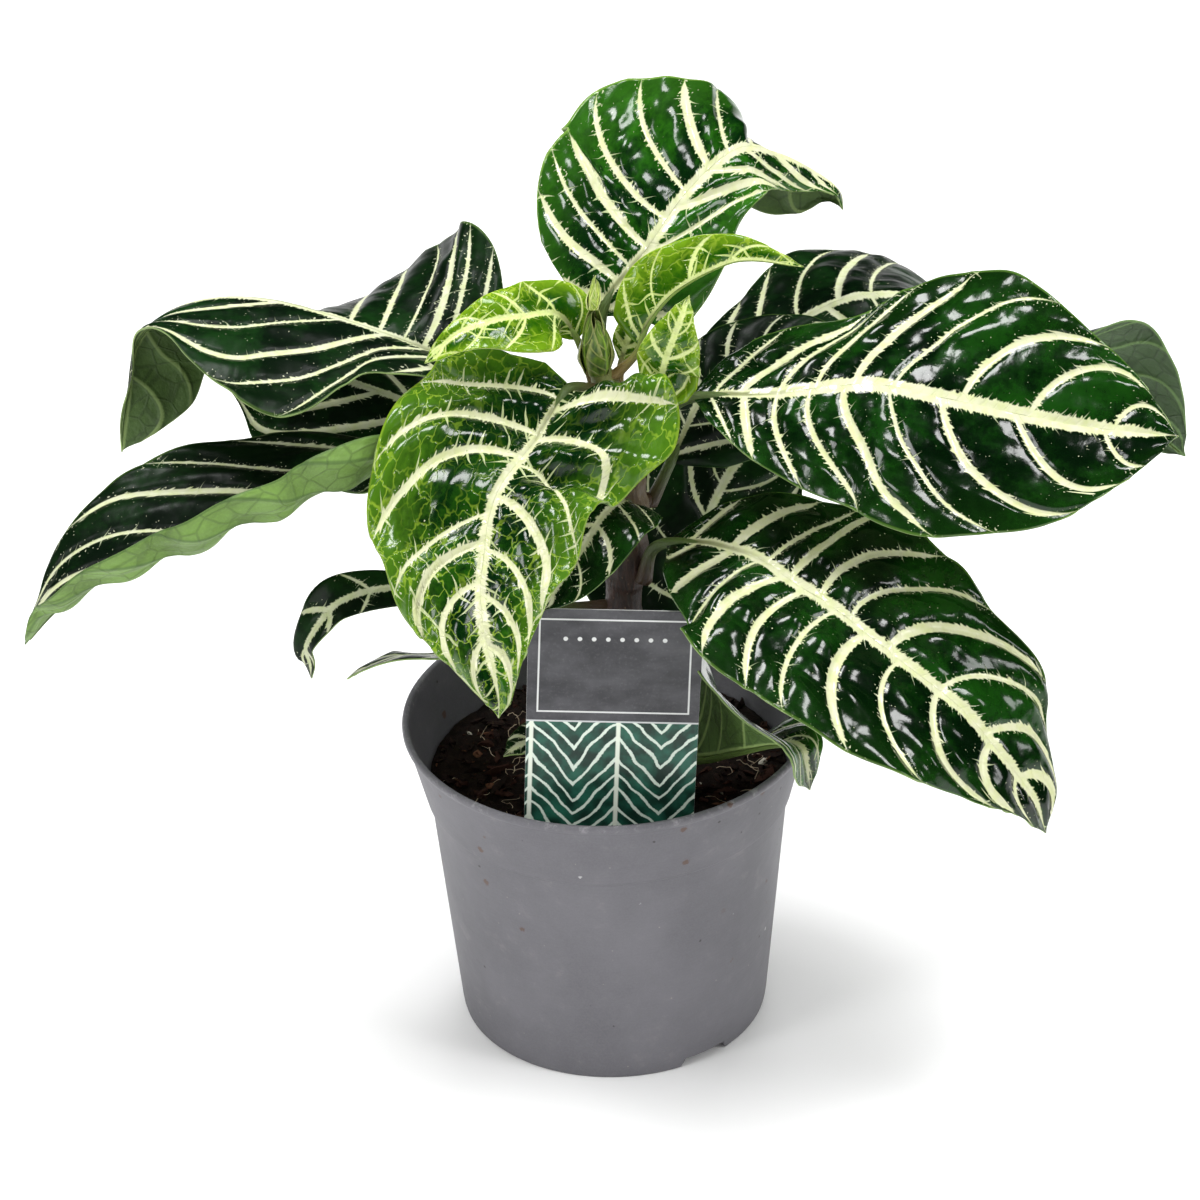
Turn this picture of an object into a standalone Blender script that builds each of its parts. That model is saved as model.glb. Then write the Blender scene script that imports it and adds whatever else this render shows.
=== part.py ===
"""Potted zebra plant in a nursery pot, in metres, +Z up, front towards -Y.

The origin is the middle of the pot's base. Leaf tables are in millimetres.
"""

import math

import bmesh
import bpy
import numpy as np

MM = 0.001

# Clear the scene
for old in list(bpy.data.objects):
    bpy.data.objects.remove(old, do_unlink=True)

# Pot
POT_HEIGHT = 98.6
POT_WALL = 1.2
POT_BASE_RADIUS = 45.5
POT_WAIST_RADIUS = 52.5
COLLAR_RADIUS = 53.7
COLLAR_TOP_RADIUS = 58.6
COLLAR_Z = 74.6
LIP_RADIUS = 60.0
LIP_DEPTH = 4.0
POT_FLOOR_UNDER = 3.4
POT_PAD_RADIUS = 14.0
POT_PAD_SLOPE = 0.8
FOOT_RING_WIDTH = 1.9
FOOT_RING_TOP_WIDTH = 2.6
POT_STEPS = 48
DRAIN_HOLES = 6
DRAIN_HOLE_RADIUS = 4.0
DRAIN_HOLE_RING = 30.0
DRAIN_CUT = (1, 7)
NOTCH_REACH = (40, 49)
NOTCH_TURNS = (35, 215)
NOTCH_WIDTH = 17.5
NOTCH_TOP_WIDTH = 13.8
NOTCH_HEIGHT = 3.1

# Soil
GAP = 0.3
SOIL_TOP = 80.0
SOIL_EDGE = 78.6
SOIL_MOUND = (18, 0.4)
SOIL_DIP = (38, -0.3)
SOCKET_DEPTH = 10.0
SOCKET_GAP = 0.4

# Stem
STEM_POINTS = (
    (2, 0, 71),
    (2, 0, 82),
    (3, 0, 98),
    (4, 0, 112),
    (4, 0, 118),
    (6, 0, 142),
    (7, 0, 149),
    (8, 1, 168),
    (7, 2, 184),
    (5, 2, 197),
    (2, 2, 208),
    (0, 1, 214),
)
STEM_RADII = (5.2, 5.2, 5.0, 5.4, 5.1, 5.2, 5.4, 4.9, 4.3, 4.2, 3.4, 3.0)

# Tag
TAG_WIDTH = 49.4
TAG_FOOT_WIDTH = 48.4
TAG_THICK = 0.5
TAG_LENGTH = 74.5
TAG_STAKE_WIDTH = 20.0
TAG_STAKE_LENGTH = 26.0
TAG_STAKE_POINT = 1.5
TAG_CORNER = 1.5
TAG_FOOT_CORNER = 5.0
TAG_SLOT_GAP = 0.4
TAG_SLOT_FACE_GAP = 0.35
TAG_SHOULDER = (-0.9, -44.0, 82.0)
TAG_LEAN_BACK = 6.7
TAG_TURN = 3.3

# Leaf solids
LEAF_THICK = 0.9
LEAF_MID_THICK = 1.5
JOINT_GAP = 0.45
PETIOLE_END = 2.5
EDGE_WIDTH = 0.6
THICK_AT_ENDS = (1.9, 0.5)
RIB_SAMPLES = 400
ROW_STEPS = 8
BIG = dict(across=3, rings=13, petiole=4, radius=2.0)
SMALL = dict(across=2, rings=9, petiole=3, radius=1.3)

# Each leaf: middle line from the stem to the tip, petiole length, direction its upper
# side faces along the blade, half widths from base to tip, and per half the lift of
# the rows in degrees, their further bend towards the margin and their sweep to the tip.
LEAVES = {
    "leaf_top": dict(
        BIG | dict(rings=17),
        rib=[(1, 7, 205), (2, 13, 226), (15, 24, 239), (27, 37, 250), (41, 48, 257), (52, 56, 252),
             (63, 60, 244), (71, 60, 237), (72, 57, 232)],
        stalk=20,
        face=[(0, -0.75, 0.6), (-0.1, -0.7, 0.6), (0, -0.6, 0.75), (0.3, -0.5, 0.8), (0.6, -0.4, 0.6)],
        left=[8, 38, 43, 43, 42, 32, 26, 27, 29, 26, 18, 1],
        left_lift=[0, 0, 0, 0, 0, -25, -80, -100, -90],
        left_sweep=[10, 22, 20, 25, 32, 32, 10, 0],
        right=[8, 22, 23, 21, 19, 17, 16, 14, 12, 9, 5, 1],
        right_lift=[-10, -15, -15, -10, 0, 0],
    ),
    "leaf_left_upper": dict(
        BIG,
        rib=[(-3, 3, 198), (-22, 5, 205), (-48, 8, 217), (-61, 12, 221), (-76, 16, 225), (-92, 20, 228),
             (-108, 22, 228), (-122, 23, 223), (-131, 22, 213), (-134, 19, 199), (-137, 16, 182)],
        stalk=30,
        face=[(0, -0.35, 0.94), (0, -0.35, 0.94), (-0.1, -0.3, 0.94), (-0.5, -0.2, 0.8), (-0.95, 0, 0.3)],
        right=[8, 36, 42, 40, 28, 20, 22, 24, 18, 1],
        right_lift=[35, 20, -25, -60, -80, -90, -95, -100],
        left=[6, 14, 24, 42, 45, 36, 20, 5, 2, 1],
        left_lift=[44, 30, 10, 8, 10, 30, 40, 40],
    ),
    "leaf_left_middle": dict(
        BIG,
        rib=[(-2, 3, 172), (-23, 10, 186), (-51, 22, 191), (-74, 29, 197), (-96, 33, 202), (-112, 33, 203)],
        stalk=30,
        face=[(0, -0.35, 0.94), (0, -0.4, 0.9), (-0.1, -0.4, 0.9)],
        right=[5, 16, 22, 22, 18, 12, 1],
        right_lift=[-20, -30, -30, -30],
        left=[5, 20, 29, 32, 30, 22, 1],
        left_lift=[0, -10, -25, -30],
    ),
    "leaf_left_low": dict(
        BIG,
        rib=[(-3, -1, 158), (-23, -6, 175), (-45, -9, 186), (-65, -12, 190), (-85, -15, 185),
             (-100, -18, 181), (-119, -20, 173), (-133, -22, 168), (-146, -23, 161), (-156, -23, 153),
             (-165, -22, 142)],
        stalk=25,
        face=[(0, -0.1, 1), (0, -0.1, 1), (0, -0.1, 1), (-0.2, -0.1, 1), (-0.5, -0.1, 0.8)],
        right=[4, 9, 15, 24, 30, 32, 28, 17, 1],
        right_lift=[0, -10, 5, 20, 20],
        left=[4, 13, 23, 30, 30, 28, 25, 16, 1],
        left_lift=[20, 10, -10, -10, 10],
        left_bend=[70, 100, 115, 110, 60],
    ),
    "leaf_front": dict(
        BIG,
        rib=[(1, -3, 207), (-7, -9, 213), (-11, -14, 212), (-18, -24, 205), (-27, -36, 199),
             (-31, -44, 193), (-33, -53, 184), (-34, -60, 177), (-33, -67, 168), (-30, -74, 154),
             (-30, -76, 147)],
        stalk=14,
        face=[(-0.1, -0.7, 0.65), (-0.1, -0.75, 0.65), (-0.05, -0.8, 0.5)],
        right=[22, 33, 37, 37, 35, 30, 24, 15, 8, 1],
        right_sweep=[-10, 0, 0],
        left=[22, 36, 39, 30, 29, 26, 21, 14, 7, 1],
        left_sweep=[-48, -28, -8, 0, 0],
    ),
    "leaf_right_upper": dict(
        BIG,
        rib=[(10, 0, 193), (18, -2, 200), (27, -5, 207), (48, -10, 210), (75, -17, 216),
             (93, -23, 215), (112, -29, 213), (130, -34, 211), (149, -38, 210), (159, -40, 210)],
        stalk=22,
        face=[(0, -0.3, 0.95), (0, -0.5, 0.85), (0, -0.6, 0.8), (0.1, -0.6, 0.8), (0.2, -0.55, 0.8)],
        left=[5, 22, 27, 29, 40, 42, 36, 29, 18, 1],
        left_lift=[0, -15, -15, 5, 10, 5],
        right=[3, 18, 29, 35, 39, 39, 36, 29, 17, 1],
        right_lift=[0, -10, -10, -10, 0],
    ),
    "leaf_right_lower": dict(
        BIG,
        rib=[(9, -2, 147), (15, -8, 160), (27, -18, 167), (42, -28, 168), (53, -38, 165),
             (64, -46, 161), (76, -54, 154), (87, -60, 147), (99, -65, 138), (109, -69, 126),
             (118, -71, 113), (122, -72, 101)],
        stalk=20,
        face=[(0.1, -0.5, 0.85), (0.3, -0.5, 0.8), (0.45, -0.5, 0.75)],
        left=[2, 14, 26, 35, 38, 37, 34, 32, 26, 15, 1],
        right=[4, 22, 32, 37, 38, 36, 34, 29, 20, 10, 1],
    ),
    "leaf_right_back": dict(
        BIG,
        rib=[(9, 8, 178), (18, 24, 182), (32, 38, 190), (53, 46, 199), (73, 52, 206), (91, 54, 205),
             (111, 54, 198), (128, 52, 186), (143, 48, 176), (157, 43, 168), (171, 38, 158)],
        stalk=40,
        face=[(0, -0.5, 0.85), (0.1, -0.45, 0.88), (0.2, -0.2, 0.95), (0.5, 0.8, 0.2), (0.5, 0.8, 0.1)],
        left=[5, 22, 36, 44, 40, 26, 16, 12, 1],
        left_lift=[-10, -30, -34, -34, -20, 0, 0],
        right=[6, 26, 34, 36, 32, 30, 33, 34, 25, 1],
        right_lift=[0, -10, -20, -10, 0, 0],
    ),
    "leaf_right_middle": dict(
        BIG,
        rib=[(11, 3, 168), (14, 5, 167), (21, 9, 180), (30, 16, 196), (39, 24, 200), (52, 31, 202),
             (67, 35, 201), (79, 37, 198)],
        stalk=16,
        face=[(0.2, -0.7, 0.7), (0.3, -0.6, 0.75), (0.2, -0.4, 0.85)],
        left=[3, 8, 11, 12, 11, 9, 6, 1],
        right=[8, 22, 26, 26, 24, 18, 10, 1],
    ),
    "leaf_back_low": dict(
        BIG,
        rib=[(9, 5, 116), (18, 13, 110), (26, 19, 114), (28, 26, 127), (30, 32, 141), (35, 38, 151),
             (42, 43, 160), (56, 50, 173), (68, 54, 180)],
        stalk=22,
        face=[(0.1, -0.85, 0.5), (0.1, -0.8, 0.6), (0.2, -0.6, 0.75)],
        left=[14, 32, 35, 33, 29, 24, 16, 8, 1],
        right=[5, 20, 28, 30, 28, 22, 14, 7, 1],
    ),
    "leaf_front_small": dict(
        SMALL,
        rib=[(8, -5, 170), (7, -14, 179), (1, -24, 181), (-6, -32, 174), (-13, -38, 166), (-18, -42, 160)],
        stalk=9,
        face=[(0, -0.6, 0.8), (0, -0.7, 0.7)],
        left=[10, 13, 13, 11, 8, 1],
        left_sweep=[-25, -15, 0, 0],
        right=[6, 10, 10, 8, 5, 1],
    ),
    "leaf_left_small": dict(
        SMALL,
        rib=[(-2, -1, 136), (-24, -3, 138), (-47, -4, 145), (-64, -6, 147), (-76, -8, 144),
             (-82, -10, 138), (-86, -11, 131), (-85, -12, 126), (-85, -12, 121)],
        stalk=30,
        face=[(0, -0.5, 0.85), (-0.3, -0.7, 0.6), (-0.7, -0.6, 0.3)],
        left=[2, 4, 5, 6, 5, 3, 1],
        right=[2, 3, 4, 6, 8, 6, 1],
    ),
    "leaf_left_narrow": dict(
        SMALL,
        rib=[(-2, -3, 122), (-19, -9, 130), (-39, -14, 130), (-50, -17, 131), (-59, -20, 133),
             (-69, -23, 131), (-74, -25, 129)],
        stalk=30,
        face=[(0, 0.42, 0.85), (0, 0.42, 0.85)],
        left=[2, 8, 10, 9, 5, 1],
        right=[2, 8, 10, 9, 5, 1],
    ),
    "leaf_right_low": dict(
        BIG,
        rib=[(9, -4, 104), (15, -10, 93), (26, -20, 96), (37, -31, 105), (47, -39, 112),
             (54, -44, 114), (56, -46, 109), (57, -47, 101)],
        stalk=16,
        face=[(0.3, 0, 1), (0.4, 0, 1), (0.3, -0.1, 1), (0.5, -0.5, 0.6)],
        right=[5, 14, 29, 38, 28, 13, 1],
        right_lift=[95, 92, 75, 40, 0],
        left=[5, 18, 22, 20, 14, 8, 1],
        left_lift=[15, 15, 10, 0],
    ),
    "leaf_low_tip": dict(
        SMALL,
        rib=[(0, -6, 98), (-14, -20, 104), (-24, -29, 108), (-30, -34, 107)],
        stalk=12,
        face=[(0, -0.3, 0.9), (-0.1, -0.4, 0.9)],
        left=[3, 8, 8, 5, 1],
        right=[3, 8, 8, 5, 1],
    ),
    "young_leaf_right": dict(
        SMALL,
        rib=[(5, 1, 211), (11, 1, 218), (14, 1, 227), (22, 3, 236), (35, 6, 242), (44, 7, 243),
             (58, 4, 242)],
        stalk=12,
        face=[(-0.3, -0.85, 0.4), (-0.1, -0.9, 0.45), (0, -0.9, 0.45)],
        left=[6, 12, 13, 11, 8, 4, 1],
        right=[6, 9, 9, 8, 5, 3, 1],
        right_lift=[-100],
    ),
    "young_leaf_upright": dict(
        SMALL,
        rib=[(5, -2, 204), (18, -6, 209), (18, -7, 216), (20, -7, 223), (23, -6, 231), (26, -3, 238)],
        stalk=12,
        face=[(0, -0.9, 0.4), (-0.1, -0.9, 0.4)],
        left=[2, 5, 8, 7, 4, 1],
        right=[4, 10, 10, 8, 4, 1],
    ),
    "young_leaf_left": dict(
        SMALL,
        rib=[(-4, 5, 207), (-6, 6, 221), (-11, 3, 230), (-20, -5, 234), (-29, -9, 235),
             (-39, -13, 233), (-48, -16, 226)],
        stalk=14,
        face=[(0, -0.6, 0.8), (-0.1, -0.6, 0.8), (-0.4, -0.6, 0.7)],
        right=[6, 10, 10, 9, 6, 3, 1],
        right_lift=[10],
        left=[4, 7, 12, 11, 8, 5, 1],
        left_lift=[-5],
    ),
    "young_leaf_wrapped": dict(
        SMALL,
        rib=[(5, 5, 205), (7, 8, 213), (9, 9, 219), (12, 11, 225), (15, 12, 230)],
        stalk=7,
        face=[(-0.1, -0.85, 0.5), (-0.2, -0.85, 0.45)],
        left=[2, 4, 4, 3, 1],
        right=[2, 4, 4, 3, 1],
    ),
}


def material(name, colour, roughness):
    mat = bpy.data.materials.new(name)
    mat.use_nodes = True
    shader = mat.node_tree.nodes["Principled BSDF"]
    shader.inputs["Base Color"].default_value = (*colour, 1)
    shader.inputs["Roughness"].default_value = roughness
    mat.diffuse_color = (*colour, 1)
    return mat


POT_PLASTIC = material("pot_plastic", (0.15, 0.14, 0.16), 0.6)
POTTING_SOIL = material("potting_soil", (0.03, 0.018, 0.013), 0.95)
STEM_BARK = material("stem_bark", (0.05, 0.02, 0.012), 0.6)
TAG_PLASTIC = material("tag_plastic", (0.08, 0.085, 0.09), 0.4)
LEAF_GREEN = material("leaf_green", (0.03, 0.11, 0.035), 0.35)
YOUNG_GREEN = material("young_leaf_green", (0.2, 0.38, 0.05), 0.4)
BUD_GREEN = material("bud_green", (0.12, 0.17, 0.04), 0.5)

PLANT = bpy.data.collections.new("potted_zebra_plant")
CUTTERS = bpy.data.collections.new("cutters")
bpy.context.scene.collection.children.link(PLANT)
bpy.context.scene.collection.children.link(CUTTERS)


def add_mesh(name, points, faces, mat, smooth=True):
    """Object from points in millimetres."""
    mesh = bpy.data.meshes.new(name)
    mesh.from_pydata([tuple(float(v) * MM for v in p) for p in points], [], faces)
    mesh.update()
    obj = bpy.data.objects.new(name, mesh)
    PLANT.objects.link(obj)
    if mat:
        mesh.materials.append(mat)
    for face in mesh.polygons:
        face.use_smooth = smooth
    return obj


def as_cutter(obj):
    for holder in list(obj.users_collection):
        holder.objects.unlink(obj)
    CUTTERS.objects.link(obj)
    obj.hide_render = True
    obj.display_type = "WIRE"
    return obj


def cut(body, cutter):
    boolean = body.modifiers.new("cut_" + cutter.name, "BOOLEAN")
    boolean.operation = "DIFFERENCE"
    boolean.solver = "EXACT"
    boolean.object = as_cutter(cutter)


def turned(name, profile, mat):
    """Solid of revolution of a profile of (radius, height) in millimetres."""
    points = [(radius, 0, height) for radius, height in profile]
    mesh = bpy.data.meshes.new(name)
    edges = [(i, i + 1) for i in range(len(points) - 1)]
    mesh.from_pydata([tuple(v * MM for v in p) for p in points], edges, [])
    obj = bpy.data.objects.new(name, mesh)
    PLANT.objects.link(obj)
    mesh.materials.append(mat)
    screw = obj.modifiers.new("turn", "SCREW")
    screw.axis = "Z"
    screw.steps = POT_STEPS
    screw.render_steps = POT_STEPS
    screw.use_merge_vertices = True
    screw.merge_threshold = 0.00005
    screw.use_smooth_shade = True
    return obj


def prism(name, outline, low, high, mat=None):
    """Outline of (x, y) points, counterclockwise, raised from low to high."""
    count = len(outline)
    points = [(x, y, low) for x, y in outline] + [(x, y, high) for x, y in outline]
    faces = [list(range(count))[::-1], list(range(count, 2 * count))]
    for i in range(count):
        j = (i + 1) % count
        faces.append([i, j, count + j, count + i])
    return add_mesh(name, points, faces, mat, smooth=False)


def disc(radius, centre, sides=16):
    turns = [2 * math.pi * i / sides for i in range(sides)]
    return [(centre[0] + radius * math.cos(t), centre[1] + radius * math.sin(t)) for t in turns]


# Pot: inside floor, inner wall, lip, outer wall, foot ring, underside
pad_top = POT_FLOOR_UNDER + POT_WALL
waist_inside = POT_WAIST_RADIUS - POT_WALL - 0.2
collar_inside = COLLAR_RADIUS - POT_WALL
pot = turned(
    "pot",
    [
        (0, POT_WALL),
        (POT_PAD_RADIUS - POT_WALL - POT_PAD_SLOPE, POT_WALL),
        (POT_PAD_RADIUS - POT_WALL / 2, pad_top),
        (POT_BASE_RADIUS - FOOT_RING_TOP_WIDTH, pad_top),
        (POT_BASE_RADIUS - 1.0, pad_top + 1.0),
        (waist_inside, COLLAR_Z - 2.0),
        (collar_inside, COLLAR_Z + 1.6),
        (COLLAR_TOP_RADIUS - POT_WALL, POT_HEIGHT - LIP_DEPTH + 0.4),
        (COLLAR_TOP_RADIUS - 0.8, POT_HEIGHT - 1.2),
        (COLLAR_TOP_RADIUS - 0.3, POT_HEIGHT - 0.3),
        (COLLAR_TOP_RADIUS + 0.3, POT_HEIGHT),
        (COLLAR_TOP_RADIUS + 0.9, POT_HEIGHT - 0.3),
        (LIP_RADIUS, POT_HEIGHT - 1.2),
        (LIP_RADIUS, POT_HEIGHT - 2.3),
        (COLLAR_TOP_RADIUS + 0.5, POT_HEIGHT - LIP_DEPTH + 0.9),
        (COLLAR_TOP_RADIUS, POT_HEIGHT - LIP_DEPTH),
        (COLLAR_RADIUS + 0.2, COLLAR_Z + 0.6),
        (COLLAR_RADIUS, COLLAR_Z),
        (POT_WAIST_RADIUS, COLLAR_Z - 0.5),
        (POT_BASE_RADIUS, 0.6),
        (POT_BASE_RADIUS - 0.3, 0),
        (POT_BASE_RADIUS - FOOT_RING_WIDTH, 0),
        (POT_BASE_RADIUS - FOOT_RING_TOP_WIDTH, POT_FLOOR_UNDER),
        (POT_PAD_RADIUS + POT_PAD_SLOPE, POT_FLOOR_UNDER),
        (POT_PAD_RADIUS, 0),
        (0, 0),
    ],
    POT_PLASTIC,
)
for number in range(DRAIN_HOLES):
    turn = 2 * math.pi * (number + 0.5) / DRAIN_HOLES
    centre = (DRAIN_HOLE_RING * math.cos(turn), DRAIN_HOLE_RING * math.sin(turn))
    cut(pot, prism(f"drain_{number + 1}", disc(DRAIN_HOLE_RADIUS, centre), *DRAIN_CUT))
for number, degrees in enumerate(NOTCH_TURNS):
    turn = math.radians(degrees)
    out = (math.sin(turn), -math.cos(turn))
    side = (math.cos(turn), math.sin(turn))
    points = []
    for height, width in ((-1.0, NOTCH_WIDTH), (NOTCH_HEIGHT, NOTCH_TOP_WIDTH)):
        for end, across in ((0, -0.5), (1, -0.5), (1, 0.5), (0, 0.5)):
            reach = NOTCH_REACH[end]
            x = reach * out[0] + across * width * side[0]
            y = reach * out[1] + across * width * side[1]
            points.append((x, y, height))
    faces = [(3, 2, 1, 0), (4, 5, 6, 7), (0, 1, 5, 4), (1, 2, 6, 5), (2, 3, 7, 6), (3, 0, 4, 7)]
    cut(pot, add_mesh(f"notch_{number + 1}", points, faces, None, smooth=False))

# Soil, following the inside of the pot
soil = turned(
    "soil",
    [
        (0, SOIL_TOP),
        (SOIL_MOUND[0], SOIL_TOP + SOIL_MOUND[1]),
        (SOIL_DIP[0], SOIL_TOP + SOIL_DIP[1]),
        (collar_inside + 0.3, SOIL_EDGE),
        (collar_inside - GAP - 0.2, COLLAR_Z + 1.2),
        (waist_inside - GAP - 0.2, COLLAR_Z - 2.2),
        (POT_BASE_RADIUS - 1.0 - GAP - 0.2, pad_top + 1.4),
        (POT_BASE_RADIUS - FOOT_RING_TOP_WIDTH - 0.4, pad_top + GAP),
        (POT_PAD_RADIUS - POT_PAD_SLOPE, pad_top + GAP),
        (POT_PAD_RADIUS - 3 * POT_PAD_SLOPE, POT_WALL + GAP),
        (0, POT_WALL + GAP),
    ],
    POTTING_SOIL,
)
socket_low = SOIL_TOP - SOCKET_DEPTH
socket = disc(STEM_RADII[0] + SOCKET_GAP, STEM_POINTS[0][:2])
cut(soil, prism("stem_socket", socket, socket_low, SOIL_TOP + 5))


def tube(name, points, radii, mat):
    """Round rod through the points, with a radius at each, in millimetres."""
    curve = bpy.data.curves.new(name, "CURVE")
    curve.dimensions = "3D"
    curve.bevel_depth = MM
    curve.bevel_resolution = 2
    curve.use_fill_caps = True
    line = curve.splines.new("POLY")
    line.points.add(len(points) - 1)
    for knot, place, radius in zip(line.points, points, radii):
        knot.co = (*(v * MM for v in place), 1)
        knot.radius = radius
    line.use_smooth = True
    obj = bpy.data.objects.new(name, curve)
    PLANT.objects.link(obj)
    curve.materials.append(mat)
    weld = obj.modifiers.new("weld", "WELD")
    weld.merge_threshold = 0.00001
    return obj


tube("stem", STEM_POINTS, STEM_RADII, STEM_BARK)
tube(
    "bud_large",
    [(0, 1, 214.4), (-1, 0, 218), (-1, -1, 223), (-1, -1, 229), (-1, 0, 233), (-1, 0, 235)],
    [2.2, 3.4, 4.6, 4.2, 2.8, 1.6],
    BUD_GREEN,
)
tube(
    "bud_small",
    [(-1, 0, 235.4), (-0.5, 0, 237.5), (0, 0, 240), (0.3, 0, 243)],
    [1.4, 2.2, 1.8, 0.4],
    YOUNG_GREEN,
)

# Tag: a sheet with a stake, leaned back and turned in its own plane
half = TAG_WIDTH / 2
foot = TAG_FOOT_WIDTH / 2
stake = TAG_STAKE_WIDTH / 2


def tag_outline(grow):
    return [
        (-stake - grow, 0),
        (-stake * 0.7 - grow, -TAG_STAKE_LENGTH * 0.75),
        (-TAG_STAKE_POINT, -TAG_STAKE_LENGTH - grow),
        (TAG_STAKE_POINT, -TAG_STAKE_LENGTH - grow),
        (stake * 0.7 + grow, -TAG_STAKE_LENGTH * 0.75),
        (stake + grow, 0),
    ]


def place_tag(obj):
    obj.rotation_mode = "XYZ"
    obj.rotation_euler = (math.radians(90 - TAG_LEAN_BACK), math.radians(TAG_TURN), 0)
    obj.location = tuple(v * MM for v in TAG_SHOULDER)


sheet = tag_outline(0) + [
    (foot - 3, 0.8),
    (foot - 0.8, 2.2),
    (foot, TAG_FOOT_CORNER),
    (half, TAG_LENGTH - TAG_CORNER),
    (half - TAG_CORNER, TAG_LENGTH),
    (-half + TAG_CORNER, TAG_LENGTH),
    (-half, TAG_LENGTH - TAG_CORNER),
    (-foot, TAG_FOOT_CORNER),
    (-foot + 0.8, 2.2),
    (-foot + 3, 0.8),
]
tag = prism("plant_tag", sheet, -TAG_THICK / 2, TAG_THICK / 2, TAG_PLASTIC)
place_tag(tag)
slot_half = TAG_THICK / 2 + TAG_SLOT_FACE_GAP
slot = prism("tag_slot", tag_outline(TAG_SLOT_GAP), -slot_half, slot_half)
place_tag(slot)
cut(soil, slot)


def even_samples(values, count):
    """Smooth curve through evenly spaced values, sampled evenly."""
    v = np.asarray(values, float)
    if v.ndim == 1:
        v = v[:, None]
    if len(v) == 1:
        return np.repeat(v, count, 0)
    padded = np.vstack([2 * v[0] - v[1], v, 2 * v[-1] - v[-2]])
    t = np.linspace(0, len(v) - 1, count)
    i = np.minimum(t.astype(int), len(v) - 2)
    f = (t - i)[:, None]
    a, b, c, d = padded[i], padded[i + 1], padded[i + 2], padded[i + 3]
    cubic = (2 * a - 5 * b + 4 * c - d) * f**2 + (-a + 3 * b - 3 * c + d) * f**3
    return 0.5 * (2 * b + (c - a) * f + cubic)


def unit(vectors):
    return vectors / np.maximum(np.linalg.norm(vectors, axis=-1, keepdims=True), 1e-12)


def along(path, lengths, at):
    return np.stack([np.interp(at, lengths, path[:, k]) for k in range(path.shape[1])], 1)


def stem_joint(first):
    """Point just off the stem at the height of first, and the direction outwards."""
    axis = np.array(STEM_POINTS, float)
    height = first[2]
    centre = np.array([np.interp(height, axis[:, 2], axis[:, k]) for k in range(2)] + [height])
    radius = np.interp(height, axis[:, 2], STEM_RADII)
    out = np.array(first, float) - centre
    out[2] = 0
    out = unit(out)
    return centre + out * (radius + JOINT_GAP), out


def leaf_rings(spec):
    """Closed rings of points from the stem to the tip of one leaf."""
    joint, out = stem_joint(spec["rib"][0])
    rib = [joint] + [np.array(p, float) for p in spec["rib"][1:]]
    dense = even_samples(rib, 60 * len(rib))
    dense_length = np.concatenate([[0], np.cumsum(np.linalg.norm(np.diff(dense, axis=0), axis=1))])
    lengths = np.linspace(0, dense_length[-1], RIB_SAMPLES)
    path = along(dense, dense_length, lengths)
    tangents = unit(np.gradient(path, axis=0))
    count, across = spec["rings"], spec["across"]
    stations = np.linspace(spec["stalk"], lengths[-1], count)
    middle = along(path, lengths, stations)
    forward = unit(along(tangents, lengths, stations))
    face = even_samples(spec["face"], count)
    face = unit(face - (face * forward).sum(1, keepdims=True) * forward)
    rightward = np.cross(forward, face)

    top = np.zeros((count, 2 * across + 1, 3))
    top[:, across] = middle
    for side, sign in (("left", -1), ("right", 1)):
        width = np.maximum(even_samples(spec[side], count)[:, 0], EDGE_WIDTH)
        lift = np.radians(even_samples(spec.get(side + "_lift", [0]), count)[:, 0])
        bend = np.radians(even_samples(spec.get(side + "_bend", [0]), count)[:, 0])
        sweep = np.radians(even_samples(spec.get(side + "_sweep", [0]), count)[:, 0])
        row = sign * np.cos(sweep)[:, None] * rightward + np.sin(sweep)[:, None] * forward
        place = middle.copy()
        steps = ROW_STEPS * across
        for k in range(steps):
            angle = lift + bend * (k + 0.5) / steps
            slope = np.cos(angle)[:, None] * row + np.sin(angle)[:, None] * face
            place = place + (width / steps)[:, None] * slope
            if (k + 1) % ROW_STEPS == 0:
                top[:, across + sign * ((k + 1) // ROW_STEPS)] = place

    normal = unit(np.cross(np.gradient(top, axis=1), np.gradient(top, axis=0)))
    thick = np.full(2 * across + 1, LEAF_THICK)
    thick[across] = LEAF_MID_THICK
    shrink = np.minimum(1, np.linspace(*THICK_AT_ENDS, count))
    under = top - normal * (thick[None, :, None] * shrink[:, None, None])
    blade = [np.vstack([top[i], under[i, -2:0:-1]]) for i in range(count)]

    # Petiole: round rings from the stem to just before the blade
    stalk_ends = np.linspace(0, spec["stalk"] - PETIOLE_END, spec["petiole"])
    centres = along(path, lengths, stalk_ends)
    ahead = unit(along(tangents, lengths, stalk_ends))
    ahead[0] = out
    petiole = []
    for centre, heading in zip(centres, ahead):
        up = unit(face[0] - (face[0] @ heading) * heading)
        side = np.cross(heading, up)
        turns = np.pi - np.arange(4 * across) * np.pi / (2 * across)
        ring = np.cos(turns)[:, None] * side + np.sin(turns)[:, None] * up
        petiole.append(centre + spec["radius"] * ring)
    return petiole + blade


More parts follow.
